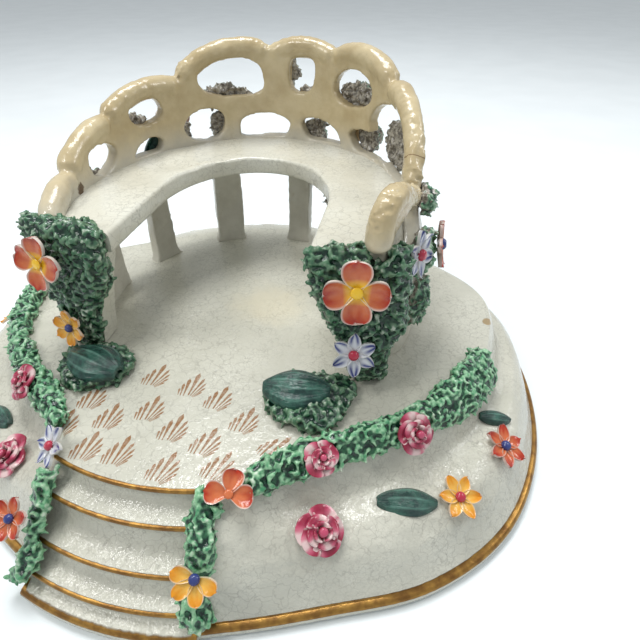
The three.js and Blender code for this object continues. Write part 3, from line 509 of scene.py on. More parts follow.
# openings: degrees from and to, heights from and to, squareness, lean, and 1 for a flat sill
OPENINGS = [(-26.5, -3, 34, 49, 2.2, 0.1, 0), (14, 44, 40, 60.5, 2.2, 0.25, 0),
            (46, 66, 55, 67, 2.2, 0, 0), (75.5, 87, 57, 69, 3, 0, 0),
            (97.5, 125.5, 55.5, 68, 2.6, 0.12, 0), (141.5, 155.5, 50.8, 59.4, 2.4, 0, 0),
            (164.5, 178.5, 41, 50, 2.2, -0.15, 0), (36.5, 56, 41, 49, 2, 0.25, 1),
            (63.5, 81, 41, 49, 2, 0.35, 1), (87.3, 109.5, 41, 49.6, 2, 0, 1),
            (115.5, 133.5, 41, 52, 2.2, 0, 0), (143.5, 156, 41, 46, 2, -0.3, 1),
            (87.6, 110.5, -1.2, 34, 8, 0, 0), (122.8, 145, -1.2, 34, 8, 0, 0),
            (155.3, 174, -1.2, 34, 8, 0, 0), (186, 198, 8, 23, 2.6, 0, 0),
            (58, 77, -1.2, 34, 8, 0, 0), (28, 49, -1.2, 34, 8, 0, 0),
            (2, 20, -1.2, 34, 8, 0, 0)]


def bower_point(x, y, height):
    """A place in the horseshoe's own frame, which is turned on the base."""
    c, s = cos(BOWER_TURN), sin(BOWER_TURN)
    return c * x - s * y, s * x + c * y + BOWER_Y, FLOOR + height


# the horseshoe's half width and half depth: at the floor, at its waist and, higher up, at its top
WAIST, ABOVE_WAIST = 40, 36
FLOOR_HALVES, WAIST_HALVES, TOP_HALVES = (51, 51), (51, 58.5), (52.5, 62)


def wall_point(degrees, height, out=0.0):
    belly = 3 * smooth(degrees, -26, -14) * (1 - smooth(degrees, 2, 16)) * (1 - smooth(height, 30, 44))
    if height < WAIST:
        across, depth = (lerp(p, q, height / WAIST) for p, q in zip(FLOOR_HALVES, WAIST_HALVES))
    else:
        rise = (height - WAIST) / ABOVE_WAIST
        across, depth = (lerp(p, q, rise) for p, q in zip(WAIST_HALVES, TOP_HALVES))
    a = radians(degrees)
    return bower_point((belly + across + out) * cos(a), (depth + out) * sin(a), height)


def lobe_height(lobe, f):
    """Height of a lobe's middle line; the first one is the scroll, which follows its own path."""
    if lobe is LOBES[0]:
        return float(np.interp(lerp(lobe[0], lobe[1], f), *zip(*SCROLL[2:])))
    return lerp(lobe[2], lobe[3], f) + lobe[4] * sin(pi * min(max(f, 0), 0.9999)) ** 0.55


def rim_height(degrees):
    """Height of the rim's middle line; past the last lobe, the height of that lobe's end."""
    here = [lobe for lobe in LOBES if lobe[0] <= degrees <= lobe[1]]
    heights = [lobe_height(lobe, (degrees - lobe[0]) / (lobe[1] - lobe[0])) for lobe in here]
    return max(heights, default=LOBES[-1][3])


def pierced(degrees, height):
    """Whether a place on the wall lies in one of the openings, whose outlines are cut freehand."""
    for seed, (low, high, bottom, top, square, lean, flat) in enumerate(OPENINGS):
        if not (low - 8 < degrees < high + 8 and bottom - 3 < height < top + 3):
            continue
        b = (height - (bottom + top) / 2) / ((top - bottom) / 2)
        a = (degrees - (low + high) / 2) / ((high - low) / 2) - lean * b
        turn = atan2(b, a)
        wave = 1 + 0.035 * sin(2 * turn + seed) + 0.03 * sin(3 * turn + 2 * seed)
        power = 9 if flat and b < 0 else square
        if abs(a / wave) ** power + abs(b / wave) ** power < 1:
            return True
    return False


COLUMNS, ROWS, CELL = 480, 170, 0.45
SUNK = 0.7
corners = {}
points, faces = [], []


def corner(column, row, face):
    """The number of a corner of the wall's clay, made when it is first asked for."""
    key = (column, row, face)
    if key not in corners:
        corners[key] = len(points)
        degrees = lerp(*TRELLIS_ENDS, column / COLUMNS)
        points.append(wall_point(degrees, row * CELL - SUNK, (face - 0.5) * WALL))
    return corners[key]


clay = np.zeros((COLUMNS + 2, ROWS + 2), bool)
for column in range(COLUMNS):
    degrees = lerp(*TRELLIS_ENDS, (column + 0.5) / COLUMNS)
    top = rim_height(degrees)
    for row in range(ROWS):
        height = (row + 0.5) * CELL - SUNK
        clay[column + 1, row + 1] = height < top and not pierced(degrees, height)
for column, row in np.argwhere(clay):
    c, r = column - 1, row - 1
    square = ((c, r), (c + 1, r), (c + 1, r + 1), (c, r + 1))
    faces.append(tuple(corner(i, j, 1) for i, j in square))
    faces.append(tuple(corner(i, j, 0) for i, j in reversed(square)))
    for k, (dc, dr) in enumerate(((0, -1), (1, 0), (0, 1), (-1, 0))):
        if not clay[column + dc, row + dr]:
            (i, j), (m, n) = square[k], square[(k + 1) % 4]
            faces.append((corner(i, j, 0), corner(m, n, 0), corner(m, n, 1), corner(i, j, 1)))
trellis = new_piece("trellis_back", points, faces)


def tube(path, radii, sides=20):
    """A roll of clay along a path. Each ring is set half a turn on from the last one, so the skin is
    pinched between rings; the remesh that follows fuses and smooths it."""
    path = [Vector(p) for p in path]
    rings = []
    for k, point in enumerate(path):
        ahead = (path[min(k + 1, len(path) - 1)] - path[max(k - 1, 0)]).normalized()
        side = ahead.cross(Vector((0, 0, 1))) if k == 0 else -ahead.cross(side.cross(ahead))
        side.normalize()
        up = side.cross(ahead)
        rings.append([tuple(point + (side * cos(t) + up * sin(t)) * radii[k])
                      for t in (i * 2 * pi / sides for i in range(sides))])
    return skin(rings)


def roll_place(lobe, f):
    """Degrees and height of the middle of a lobe's roll, a share f along it."""
    if lobe is not LOBES[0]:
        return lerp(lobe[0], lobe[1], f), lobe_height(lobe, f)
    along = f * (len(SCROLL) - 1)
    return [float(np.interp(along, range(len(SCROLL)), way)) for way in zip(*SCROLL)]


ROLL_STEPS = 40
points, faces = [], []
for lobe in LOBES:
    path, radii = [], []
    thick = ROLL * (0.98 if lobe is LOBES[0] else 1.0)
    for k in range(ROLL_STEPS + 1):
        f = k / ROLL_STEPS
        path.append(wall_point(*roll_place(lobe, f), 0.2 * sin(9 * f)))
        radii.append(thick * (1 + 0.03 * sin(7 * f + lobe[0])) * min(1, 0.55 + 6 * min(f, 1 - f)))
    if lobe is LOBES[0]:
        bends = np.array(path)
        for _ in range(12):
            bends[1:-1] = (bends[:-2] + 2 * bends[1:-1] + bends[2:]) / 4
        path = [tuple(p) for p in bends]
    roll_points, roll_faces = tube(path, radii)
    faces += [tuple(i + len(points) for i in face) for face in roll_faces]
    points += roll_points
rim = new_piece("rim", points, faces)


def press_together(piece, others, voxel, passes):
    """Joins overlapping lumps of clay into one skin and rubs it smooth."""
    for other in others:
        mesh = bmesh.new()
        mesh.from_mesh(piece.data)
        mesh.from_mesh(other.data)
        mesh.to_mesh(piece.data)
        mesh.free()
        bpy.data.objects.remove(other)
    remesh = piece.modifiers.new("remesh", "REMESH")
    remesh.mode, remesh.voxel_size, remesh.use_smooth_shade = "VOXEL", voxel * MM, True
    rub = piece.modifiers.new("rub", "SMOOTH")
    rub.factor, rub.iterations = 0.5, passes
    settle(piece)
    piece.data.shade_smooth()


WALL_VOXEL = 0.62
press_together(trellis, [rim], WALL_VOXEL, 6)


def places_and_normals(mesh):
    read = np.empty((2, len(mesh.vertices) * 3))
    mesh.vertices.foreach_get("co", read[0])
    mesh.vertices.foreach_get("normal", read[1])
    return read[0].reshape(-1, 3), read[1].reshape(-1, 3)


def dent(piece, lumps):
    """Pushes a piece's skin in and out a little; each lump is a size and a height in millimetres."""
    places, normals = places_and_normals(piece.data)
    for size, height in lumps:
        push = [noise.noise(Vector(spot)) for spot in places / (size * MM)]
        places += normals * np.array(push)[:, None] * height * MM
    piece.data.vertices.foreach_set("co", places.ravel())
    piece.data.update()


dent(trellis, [(6, 0.3), (2.2, 0.1)])

ivory_glaze, shader, glaze = new_glaze("ivory_glaze", 0.2)
place = millimetres(glaze)
x, y, z = across_back_up(place)
blotch = grain(place, 0.08, 4.0, 0.6)
ivory = blotch.rise(0.32, 0.7).over((0.56, 0.465, 0.285), (0.44, 0.345, 0.19))
posts = blotch.rise(0.3, 0.7).over((0.60, 0.58, 0.50), (0.49, 0.465, 0.39))
colour = (z + (blotch - 0.5) * 14).rise(66, 80).over(ivory, posts)
lines = crackle(place, 0.3, 0.09) * grain(place, 0.07).rise(0.4, 0.62)
colour = (lines * 0.3).over((0.36, 0.30, 0.2), colour)
# an old break right across the rolled rim of the right arm, mended and stained tan
break_way = (y - 14.4) * 0.73 + (z - 80.8) * 0.68 + (grain(place, 0.4, 3.0) - 0.5) * 1.6
broken = glaze.sum("ABSOLUTE", break_way).rise(0.26, 0.1) * x.rise(44, 45) * z.rise(72, 73)
colour = (broken * 0.8).over((0.17, 0.10, 0.045), colour)
# and a brown spot of kiln dirt on the left arm
spot = away_from(place, (-47.8, -6.3, 70.6)) + (grain(place, 0.5, 3.0) - 0.5) * 3
colour = spot.rise(2.4, 1.6).over((0.09, 0.05, 0.02), colour)
dirt = grain(place, 0.22, 5.0, 0.7).rise(0.62, 0.8)
colour = (dirt * 0.35).over((0.38, 0.30, 0.18), colour)
feed(shader, Base_Color=colour)
lumpy = grain(place, 0.35, 3.0) * 0.7 + grain(place, 1.3, 2.0) * 0.2
set_bump(shader, lumpy, 0.35, 0.0007)
dress(trellis, ivory_glaze, "ivory_glaze", "trellis")


# The bench: a flat slab of clay, cut to the horseshoe with a knife and luted to the trellis.
# White glaze, worn and pitted on top, with a rough knife edge along its inside.
SEAT_TOP = 40.4
SEAT_THICK = 5.9
SEAT_HALF_GAP = 27.0
SEAT_INNER_DEPTH = 33.3
ARM_REACH = 29.6
SEAT_END = 28
SEAT_STEPS = 200


def seat_inner(degrees):
    if degrees < 0:
        return SEAT_HALF_GAP, ARM_REACH * degrees / SEAT_END
    if degrees > 180:
        return -SEAT_HALF_GAP, -ARM_REACH * (degrees - 180) / SEAT_END
    a = radians(degrees)
    return SEAT_HALF_GAP * cos(a), SEAT_INNER_DEPTH * sin(a)


low = SEAT_TOP - SEAT_THICK
# the slab's outline: share of the way in from the trellis, height, and how far short of that share
edge = [(0, SEAT_TOP, 0), (0.2, SEAT_TOP, 0), (0.4, SEAT_TOP, 0), (0.6, SEAT_TOP, 0), (0.8, SEAT_TOP, 0),
        (1, SEAT_TOP, 1.3), (1, SEAT_TOP - 0.12, 0.7), (1, SEAT_TOP - 0.5, 0.2), (1, SEAT_TOP - 1.2, 0),
        (1, low + 3, 0), (1, low + 1, 0), (1, low + 0.3, 0.25), (1, low, 0.9), (0.5, low, 0), (0, low, 0)]
rings = []
for k in range(SEAT_STEPS + 1):
    degrees = lerp(-SEAT_END, 180 + SEAT_END, k / SEAT_STEPS)
    ring = []
    for share, height, inset in edge:
        wall_x, wall_y, _ = wall_point(degrees, height, -WALL / 2 + 0.2)
        inner_x, inner_y, _ = bower_point(*seat_inner(degrees), height)
        width = hypot(inner_x - wall_x, inner_y - wall_y)
        f = share - inset / width
        rough = 0.18 * noise.noise(Vector((degrees * 0.9, height, 3))) if share == 1 else 0
        dip = 0.35 * noise.noise(Vector((degrees * 0.08, share * 2, height))) if height > low + 1 else 0
        x, y = lerp(wall_x, inner_x, f), lerp(wall_y, inner_y, f)
        ring.append((x + rough, y + rough, FLOOR + height + dip))
    rings.append(ring)
bench = new_piece("bench", *skin(rings), sharp=50)

bench_glaze, shader, glaze = new_glaze("bench_glaze", 0.22)
place = millimetres(glaze)
colour = white_body(place, (0.66, 0.65, 0.565), (0.55, 0.53, 0.44))
pits = grain(place, 0.5, 5.0, 0.7).rise(0.66, 0.74)
colour = (pits * 0.75).over((0.42, 0.35, 0.25), colour)
feed(shader, Base_Color=colour)
set_bump(shader, grain(place, 0.4, 4.0, 0.6) - pits * 0.3, 0.3, 0.0006)
dress(bench, bench_glaze, "white_glaze", "seat")
for hand in ("right", "left"):
    bracket = frame["nodes"]["bracket_" + hand]
    bracket.data.materials.clear()
    bracket.data.materials.append(bench_glaze)


# The moss: clay pressed through a sieve and laid on in lumps with a needle, on the brackets, the
# terrace rim, the flight's edges, the floor and the trellis. Painted green, with painted shade dark
# in the hollows and a painted highlight pale on the tips.
def make_shred(name, seed, length, girth, bend):
    """One short bent shred of clay, its tip along +Z."""
    chance = np.random.default_rng(seed)
    path, radii = [], []
    for k in range(5):
        f = k / 4
        sway = 0.25 * length * sin(f * 3 + seed)
        path.append((bend * sin(f * 2.2) * length, sway, (f - 0.25) * length))
        radii.append(girth * (0.75, 1.0, 1.0, 1.0, 0.9)[k] * chance.uniform(0.85, 1.15))
    return new_piece(name, *tube(path, radii, 6), sharp=180)


# each kind of shred: length, girth and bend
SHREDS = [(1.6, 0.52, 0.5), (1.3, 0.6, 0.6), (1.9, 0.48, 0.45), (1.1, 0.66, 0.3)]
SHRED_LEAN = 0.95
shreds = bpy.data.collections.new("shreds")
for k, sizes in enumerate(SHREDS):
    shred = make_shred(f"shred_{k}", k + 3, *sizes)
    bpy.context.scene.collection.objects.unlink(shred)
    shreds.objects.link(shred)


def moss_tree(material):
    """Shreds of clay scattered over a bed, with inputs for how many, how large and the seed."""
    tree = bpy.data.node_groups.new("shredded_clay_" + material.name, "GeometryNodeTree")
    face = tree.interface
    face.new_socket("Bed", in_out="INPUT", socket_type="NodeSocketGeometry")
    for name, kind in (("Shreds per square metre", "Float"), ("Size", "Float"), ("Seed", "Int")):
        face.new_socket(name, in_out="INPUT", socket_type="NodeSocket" + kind)
    face.new_socket("Moss", in_out="OUTPUT", socket_type="NodeSocketGeometry")

    add = partial(add_node, tree)
    given = add("NodeGroupInput", {}).outputs
    spread = add("GeometryNodeDistributePointsOnFaces",
                 {"Mesh": given["Bed"], "Density": given[1], "Seed": given[3]})
    least, most = (-SHRED_LEAN, -SHRED_LEAN, -3.14), (SHRED_LEAN, SHRED_LEAN, 3.14)
    lean = add("FunctionNodeRandomValue", {0: least, 1: most, "Seed": 7}, data_type="FLOAT_VECTOR")
    turned = add("FunctionNodeRotateRotation",
                 {0: spread.outputs["Rotation"], 1: lean.outputs[0]}, rotation_space="LOCAL")
    scale = add("FunctionNodeRandomValue", {2: 0.6, 3: 1.25, "Seed": 11}, data_type="FLOAT")
    sized = add("ShaderNodeMath", {0: scale.outputs[1], 1: given[2]}, operation="MULTIPLY")
    stock = add("GeometryNodeCollectionInfo",
                {"Collection": shreds, "Separate Children": True, "Reset Children": True})
    laid = add("GeometryNodeInstanceOnPoints",
               {"Points": spread.outputs["Points"], "Instance": stock.outputs[0], "Pick Instance": True,
                "Rotation": turned.outputs[0], "Scale": sized.outputs[0]})
    joined = add("GeometryNodeJoinGeometry", {})
    tree.links.new(laid.outputs[0], joined.inputs[0])
    tree.links.new(given["Bed"], joined.inputs[0])
    real = add("GeometryNodeRealizeInstances", {"Geometry": joined.outputs[0]})
    painted = add("GeometryNodeSetMaterial", {"Geometry": real.outputs[0], "Material": material})
    add("NodeGroupOutput", {"Moss": painted.outputs[0]})
    return tree


MOSS_GREEN, MOSS_HOLLOW_SHADE = (0.03, 0.13, 0.06), (0.003, 0.02, 0.013)
MOSS_TIP, MOSS_MIDDLE = (0.32, 0.55, 0.33), (0.05, 0.25, 0.11)


def moss_glaze(name, grey_inward, light=1.0):
    """Green glaze, pale tips as painted highlight, dark hollows as painted shade; light scales the greens.
    """
    material, shader, glaze = new_glaze(name, 0.22)
    greens = (MOSS_GREEN, MOSS_TIP, MOSS_MIDDLE)
    green, pale_green, middle = (tuple(c * light for c in kind) for kind in greens)
    place = millimetres(glaze)
    tip = glaze.node("Attribute", {}, output=2, attribute_name="tip")
    tint = grain(place, 0.9, 1.0)
    clump = grain(place, 0.45, 3.0, 0.6)
    # by how far each point stands out: painted shade in the hollows, a painted highlight on the tips
    deep = (clump + tint * 0.25 - 0.12).rise(0.35, 0.72).over(green, MOSS_HOLLOW_SHADE)
    pale = (clump * 0.6 + tint * 0.5).rise(0.3, 0.78).over(pale_green, middle)
    colour = (tip * 1.1 - 0.12 + (clump - 0.5) * 0.8).rise(0.12, 0.9).over(pale, deep)
    # white body bare on the highest tips, which also stands as a painted highlight
    bare_and_highlight = tip.rise(0.75, 1.0) * (tint * 0.6 + grain(place, 0.2, 2.0) * 0.8).rise(0.72, 0.95)
    colour = (bare_and_highlight * 0.7).over((0.62, 0.66, 0.56), colour)
    # darker and greyer on faces turned in towards the bower
    if grey_inward:
        x, y = across_back_up(place)[:2]
        nx, ny = across_back_up(glaze.node("NewGeometry", {}, output=1))[:2]
        inward = (x * nx + (y - BOWER_Y) * ny).rise(14, -16)
        grey = (tint + clump - 0.5).rise(0.25, 0.8).over((0.42, 0.39, 0.33), (0.12, 0.105, 0.085))
        colour = inward.over(grey, colour)
    feed(shader, Base_Color=colour)
    set_bump(shader, grain(place, 2.2, 2.0), 0.3, 0.0003)
    return material


FUSE = 0.42
BED_EDGE = 1.6
TIP_HEIGHT = 0.22


def mark_tips(piece):
    """Stores how far each point stands out from its neighbours, read as tip for painted light and shade."""
    mesh = piece.data
    count = len(mesh.vertices)
    places, normals = places_and_normals(mesh)
    edges = np.empty(len(mesh.edges) * 2, int)
    mesh.edges.foreach_get("vertices", edges)
    ends = edges.reshape(-1, 2)
    ends = np.concatenate([ends, ends[:, ::-1]])
    beside = np.maximum(np.bincount(ends[:, 0], minlength=count), 1)

    def averaged(values):
        return np.bincount(ends[:, 0], values[ends[:, 1]], count) / beside

    calm = places
    for _ in range(6):
        calm = np.stack([averaged(calm[:, k]) for k in range(3)], axis=1)
    stands = ((places - calm) * normals).sum(1) / (TIP_HEIGHT * MM)
    stands = (stands + averaged(stands)) / 2
    tip = mesh.attributes.new("tip", "FLOAT", "POINT")
    tip.data.foreach_set("value", np.clip(0.45 + stands, 0, 1))


def lay_moss(name, nodes, kind, per_mm2, size, seed):
    """Copies the solids as a bed, kneads lumps into it, lays the shreds on it and fuses all."""
    bed = bmesh.new()
    for node in nodes:
        bed.from_mesh(frame["nodes"][node].data)
    bmesh.ops.remove_doubles(bed, verts=bed.verts, dist=0.00001)
    bmesh.ops.triangulate(bed, faces=bed.faces)
    for _ in range(6):
        long_edges = [edge for edge in bed.edges if edge.calc_length() > BED_EDGE * MM]
        if not long_edges:
            break
        bmesh.ops.subdivide_edges(bed, edges=long_edges, cuts=1)
        bmesh.ops.triangulate(bed, faces=bed.faces)
    mesh = bpy.data.meshes.new(name)
    bed.to_mesh(mesh)
    bed.free()
    piece = bpy.data.objects.new(name, mesh)
    bpy.context.scene.collection.objects.link(piece)
    dent(piece, [(3.4, 1.1), (1.5, 0.8)])
    material, tree = kind
    modifier = piece.modifiers.new("moss", "NODES")
    modifier.node_group = tree
    inputs = [item.identifier for item in tree.interface.items_tree if item.in_out == "INPUT"]
    for identifier, value in zip(inputs[1:], (per_mm2 * 1e6, size, seed)):
        modifier[identifier] = value
    settle(piece)
    press_together(piece, [], FUSE, 1)
    mark_tips(piece)
    dress(piece, material, "moss_glaze", *nodes)


# the second moss is the green one darkened, as painted shade on the brackets and pads
mosses = [moss_glaze("moss_green", False), moss_glaze("moss_deep_green", False, 0.45),
          moss_glaze("moss_on_trellis", True, 0.6)]
green, shade, back = [(moss, moss_tree(moss)) for moss in mosses]
for seed, hand in enumerate(("right", "left")):
    lay_moss("bracket_moss_" + hand, ["moss_bracket_" + hand], shade, 0.75, 1.1, 10 + seed)
    lay_moss("garland_moss_" + hand, ["moss_garland_" + hand], green, 0.8, 0.9, 20 + seed)
    lay_moss("flight_moss_" + hand, ["moss_flight_" + hand], green, 0.8, 0.85, 30 + seed)
    lay_moss("floor_moss_" + hand, ["moss_pad_" + hand], shade, 0.75, 1.0, 40 + seed)


def solids_named(start):
    return sorted(name for name in frame["nodes"] if name.startswith(start))


lay_moss("trellis_moss", solids_named("moss_outside"), back, 0.6, 1.0, 50)


# The flowers: petals pressed thin in the palm and set round a button of clay, each painted by
# hand: bright at the tip, thin at the heart, with the white body showing along the edges.
def seat_of(node):
    """Where a solid flower or leaf sits: its middle, the way it faces, its longest way and reach."""
    points = np.array([tuple(v.co) for v in frame["nodes"][node].data.vertices]) * 1000
    points = np.unique(points.round(3), axis=0)
    middle = points.mean(0)
    _, _, ways = np.linalg.svd(points - middle)
    normal = Vector(ways[2])
    if normal.dot(Vector(middle) - Vector((0, BOWER_Y, 20))) < 0:
        normal = -normal
    flat = [Vector(p) - Vector(middle) for p in points]
    lows = min(p.dot(normal) for p in flat)
    flat = [(p - normal * p.dot(normal)) for p in flat]
    far = max(flat, key=lambda p: p.length)
    return Vector(middle) + normal * lows, normal, far.normalized(), far.length


def petal(count, k, reach, shape, rows=13, columns=13):
    """One petal in its flower's frame: rows outwards, columns across, with a cup and a curl."""
    width, point, cup, ruffle = shape
    grid = []
    for r in range(rows):
        f = sin(pi / 2 * r / (rows - 1))
        rounded = smooth(f, -0.35, 0.6) * max(0.0, 1 - (max(0.0, f - 0.6) / 0.4) ** 3) ** 0.45
        pointed = sin(pi * max(0.02, min(f, 1.0)) ** 0.8) ** 0.8 + 0.25 * (1 - f)
        half = width * lerp(rounded, pointed, point) * reach
        line = []
        for c in range(columns):
            s = 2 * c / (columns - 1) - 1
            out = reach * (0.08 + 0.92 * f) * (1 + ruffle * 0.03 * sin(4 * s + k * 2.1) * f)
            curl = 0.06 * sin(k * 1.7 + 2.3 * s) * f * f
            up = reach * (0.16 + cup * f * f + (0.2 - 0.12 * f) * s * s * half / (0.4 * reach) + curl)
            line.append((out, s * half, up))
        grid.append(line)
    turn = 2 * pi * (k + 0.06 * sin(5 * k + count)) / count
    c, s = cos(turn), sin(turn)
    return [[(a * c - b * s, a * s + b * c, up) for a, b, up in line] for line in grid]


def thick_sheet(grid, thick):
    """A closed thin slab of clay under a grid of points; returns points, faces and grid shares."""
    rows, columns = len(grid), len(grid[0])
    top = [p for line in grid for p in line]
    points = top + [(x, y, z - thick) for x, y, z in top]
    faces = []
    half = rows * columns
    for r in range(rows - 1):
        for c in range(columns - 1):
            a, e = r * columns + c, (r + 1) * columns + c
            b, d = a + 1, e + 1
            faces += [(a, b, d, e), (half + e, half + d, half + b, half + a)]
    border = [c for c in range(columns)] + [r * columns + columns - 1 for r in range(1, rows)]
    border += [(rows - 1) * columns + c for c in range(columns - 2, -1, -1)]
    border += [r * columns for r in range(rows - 2, 0, -1)]
    for k, a in enumerate(border):
        b = border[(k + 1) % len(border)]
        faces.append((b, a, half + a, half + b))
    shares = [(r / (rows - 1), 2 * c / (columns - 1) - 1) for r in range(rows) for c in range(columns)]
    return points, faces, shares + shares


def button(radius, height, squash, sides=12, rows=6):
    """A small dome of clay."""
    rings = []
    turns = [i * 2 * pi / sides for i in range(sides)]
    for r in range(rows):
        a = pi / 2 * r / rows - 0.35
        wide, up = radius * cos(a), height + radius * squash * sin(a)
        rings.append([(wide * cos(t), wide * sin(t), up) for t in turns])
    return skin(rings)


painted_glaze, shader, glaze = new_glaze("flower_enamel", 0.2)
place = millimetres(glaze)
painted = glaze.node("Attribute", {}, output=0, attribute_name="paint")
uneven = grain(place, 0.9, 3.0).rise(0.25, 0.75)
feed(shader, Base_Color=(uneven * 0.03).over((0.72, 0.70, 0.63), painted))
set_bump(shader, grain(place, 0.8, 2.0), 0.3, 0.0005)


def blend_of(a, b, f):
    f = min(max(f, 0), 1)
    return tuple(lerp(p, q, f) for p, q in zip(a, b))


def painted_piece(name, lumps, node, slot):
    """Sets lumps of clay, each (points, faces, colours) in the flower's frame, at a node's seat."""
    origin, normal, long_way, _ = seat_of(node)
    side = normal.cross(long_way).normalized()
    points, faces, colours = [], [], []
    for lump_points, lump_faces, lump_colours in lumps:
        faces += [tuple(i + len(points) for i in face) for face in lump_faces]
        points += [tuple(origin + long_way * a + side * b + normal * c) for a, b, c in lump_points]
        colours += lump_colours
    piece = new_piece(name, points, faces, sharp=60)
    layer = piece.data.color_attributes.new("paint", "FLOAT_COLOR", "POINT")
    layer.data.foreach_set("color", [v for colour in colours for v in (*colour, 1)])
    dress(piece, painted_glaze, slot, node)


BODY_WHITE = (0.72, 0.70, 0.63)
DEEP_ORANGE, PEACH = (0.38, 0.018, 0.001), (0.56, 0.14, 0.045)
YELLOW_TIP, YELLOW_PALE = (0.66, 0.25, 0.003), (0.74, 0.43, 0.07)
BLUE_TIP, BLUE_PALE = (0.012, 0.025, 0.17), (0.58, 0.60, 0.64)
CRIMSON, NAVY, EGG = (0.42, 0.02, 0.05), (0.02, 0.035, 0.17), (0.86, 0.52, 0.02)


def flower_lumps(reach, petals, shape, tip_colour, heart_colour, eye, style, missing):
    lumps = []
    for k in range(petals):
        if k in missing:
            continue
        points, faces, shares = thick_sheet(petal(petals, k, reach, shape), 0.09 * reach + 0.25)
        colours = []
        for i, (f, s) in enumerate(shares):
            streak = 0.5 + 0.5 * sin(9 * s + 3 * k) * sin(5 * f + k)
            if style == "wash":
                colour = blend_of(heart_colour, tip_colour, (f - 0.3) * 2.2 + 0.6 * (streak - 0.5))
                if f < 0.24:
                    colour = blend_of(eye, heart_colour, (f - 0.1) * 7)
                if f > 0.97 or abs(s) > 0.9:
                    colour = blend_of(colour, BODY_WHITE, 0.75)
            elif style == "strokes":
                line = max(0, 1.2 - abs(abs(s) - 0.5 - 0.15 * sin(2 * k)) * 3.0) * smooth(f, 0.15, 0.5)
                colour = blend_of(heart_colour, tip_colour, line + max(0, f - 0.5) * 2.2 * streak)
                if abs(s) > 0.9:
                    colour = blend_of(colour, BODY_WHITE, 0.5)
            else:
                colour = blend_of(heart_colour, tip_colour, (f - 0.22) * 2.6 + 0.5 * (streak - 0.5))
                if abs(s) > 0.88:
                    colour = blend_of(colour, BODY_WHITE, 0.5)
            colours.append(blend_of(colour, BODY_WHITE, 0.4) if i >= len(shares) // 2 else colour)
        lumps.append((points, faces, colours))
    wide, squash = (0.2, 0.35) if style == "wash" else (0.24, 0.85)
    points, faces = button(wide * reach, 0.26 * reach, squash)
    lumps.append((points, faces, [eye] * len(points)))
    return lumps


# petals: half width, how pointed, cup and ruffle
FOUR, SIX, ROUND = (0.47, 0.0, 0.12, 1.0), (0.29, 0.55, 0.14, 1.0), (0.33, 0.1, 0.2, 1.0)
# flowers: number of petals, their shape, tip colour, heart colour, button, way of painting, and
# the petals that are broken off
ORANGE_CROSS = (4, FOUR, DEEP_ORANGE, PEACH, EGG, "wash", ())
BLUE_STAR = (6, SIX, BLUE_TIP, BLUE_PALE, CRIMSON, "strokes", ())
ORANGE_STAR = (6, SIX, DEEP_ORANGE, PEACH, NAVY, "edge", ())
YELLOW_STAR = (6, SIX, YELLOW_TIP, YELLOW_PALE, CRIMSON, "edge", ())
FLOWERS = {
    "bracket_right_four_petals": ORANGE_CROSS,
    "bracket_right_six_petals": BLUE_STAR,
    "bracket_left_four_petals": ORANGE_CROSS,
    "bracket_left_six_petals": (6, ROUND, YELLOW_TIP, YELLOW_PALE, NAVY, "edge", ()),
    "step_right": (4, FOUR, DEEP_ORANGE, PEACH, PEACH, "wash", (2,)),
    "garland_left": BLUE_STAR,
    "flight_right": (6, ROUND, YELLOW_TIP, YELLOW_PALE, NAVY, "edge", (2, 3)),
    "flight_left": (6, ROUND, DEEP_ORANGE, PEACH, NAVY, "edge", ()),
    "slope_right_front": YELLOW_STAR,
    "slope_right_side": ORANGE_STAR,
    "slope_left_front": ORANGE_STAR,
    "slope_left_side": YELLOW_STAR,
    "arm_right_front": BLUE_STAR,
    "arm_right_side": ORANGE_STAR,
    "back_right": (6, ROUND, YELLOW_TIP, YELLOW_PALE, CRIMSON, "edge", ()),
    "back_left": ORANGE_CROSS,
    "arm_left_side": BLUE_STAR,
}
PETAL_SHARE = 0.9
slots = {part["node"]: part["material_slot"] for part in frame["record"]["subparts"]}
for name, kind in FLOWERS.items():
    node = "flower_" + name
    lumps = flower_lumps(seat_of(node)[3] * PETAL_SHARE, *kind)
    painted_piece("petals_" + name, lumps, node, slots[node])


# The roses: thin petals wrapped round a rolled core, in three turns. Pink wash, crimson in the
# folds and a little white body along the lips.
PINK_PALE, PINK_DEEP, ROSE_RED = (0.68, 0.40, 0.43), (0.46, 0.055, 0.12), (0.24, 0.004, 0.03)
# petals of a turn: how many, reach, height of the foot and of the lip, half width, start
ROSE_TURNS = [(5, 1.0, 0.04, 0.36, 0.88, 0.0), (4, 0.68, 0.22, 0.54, 0.8, 0.7),
              (3, 0.42, 0.4, 0.64, 0.8, 0.2)]


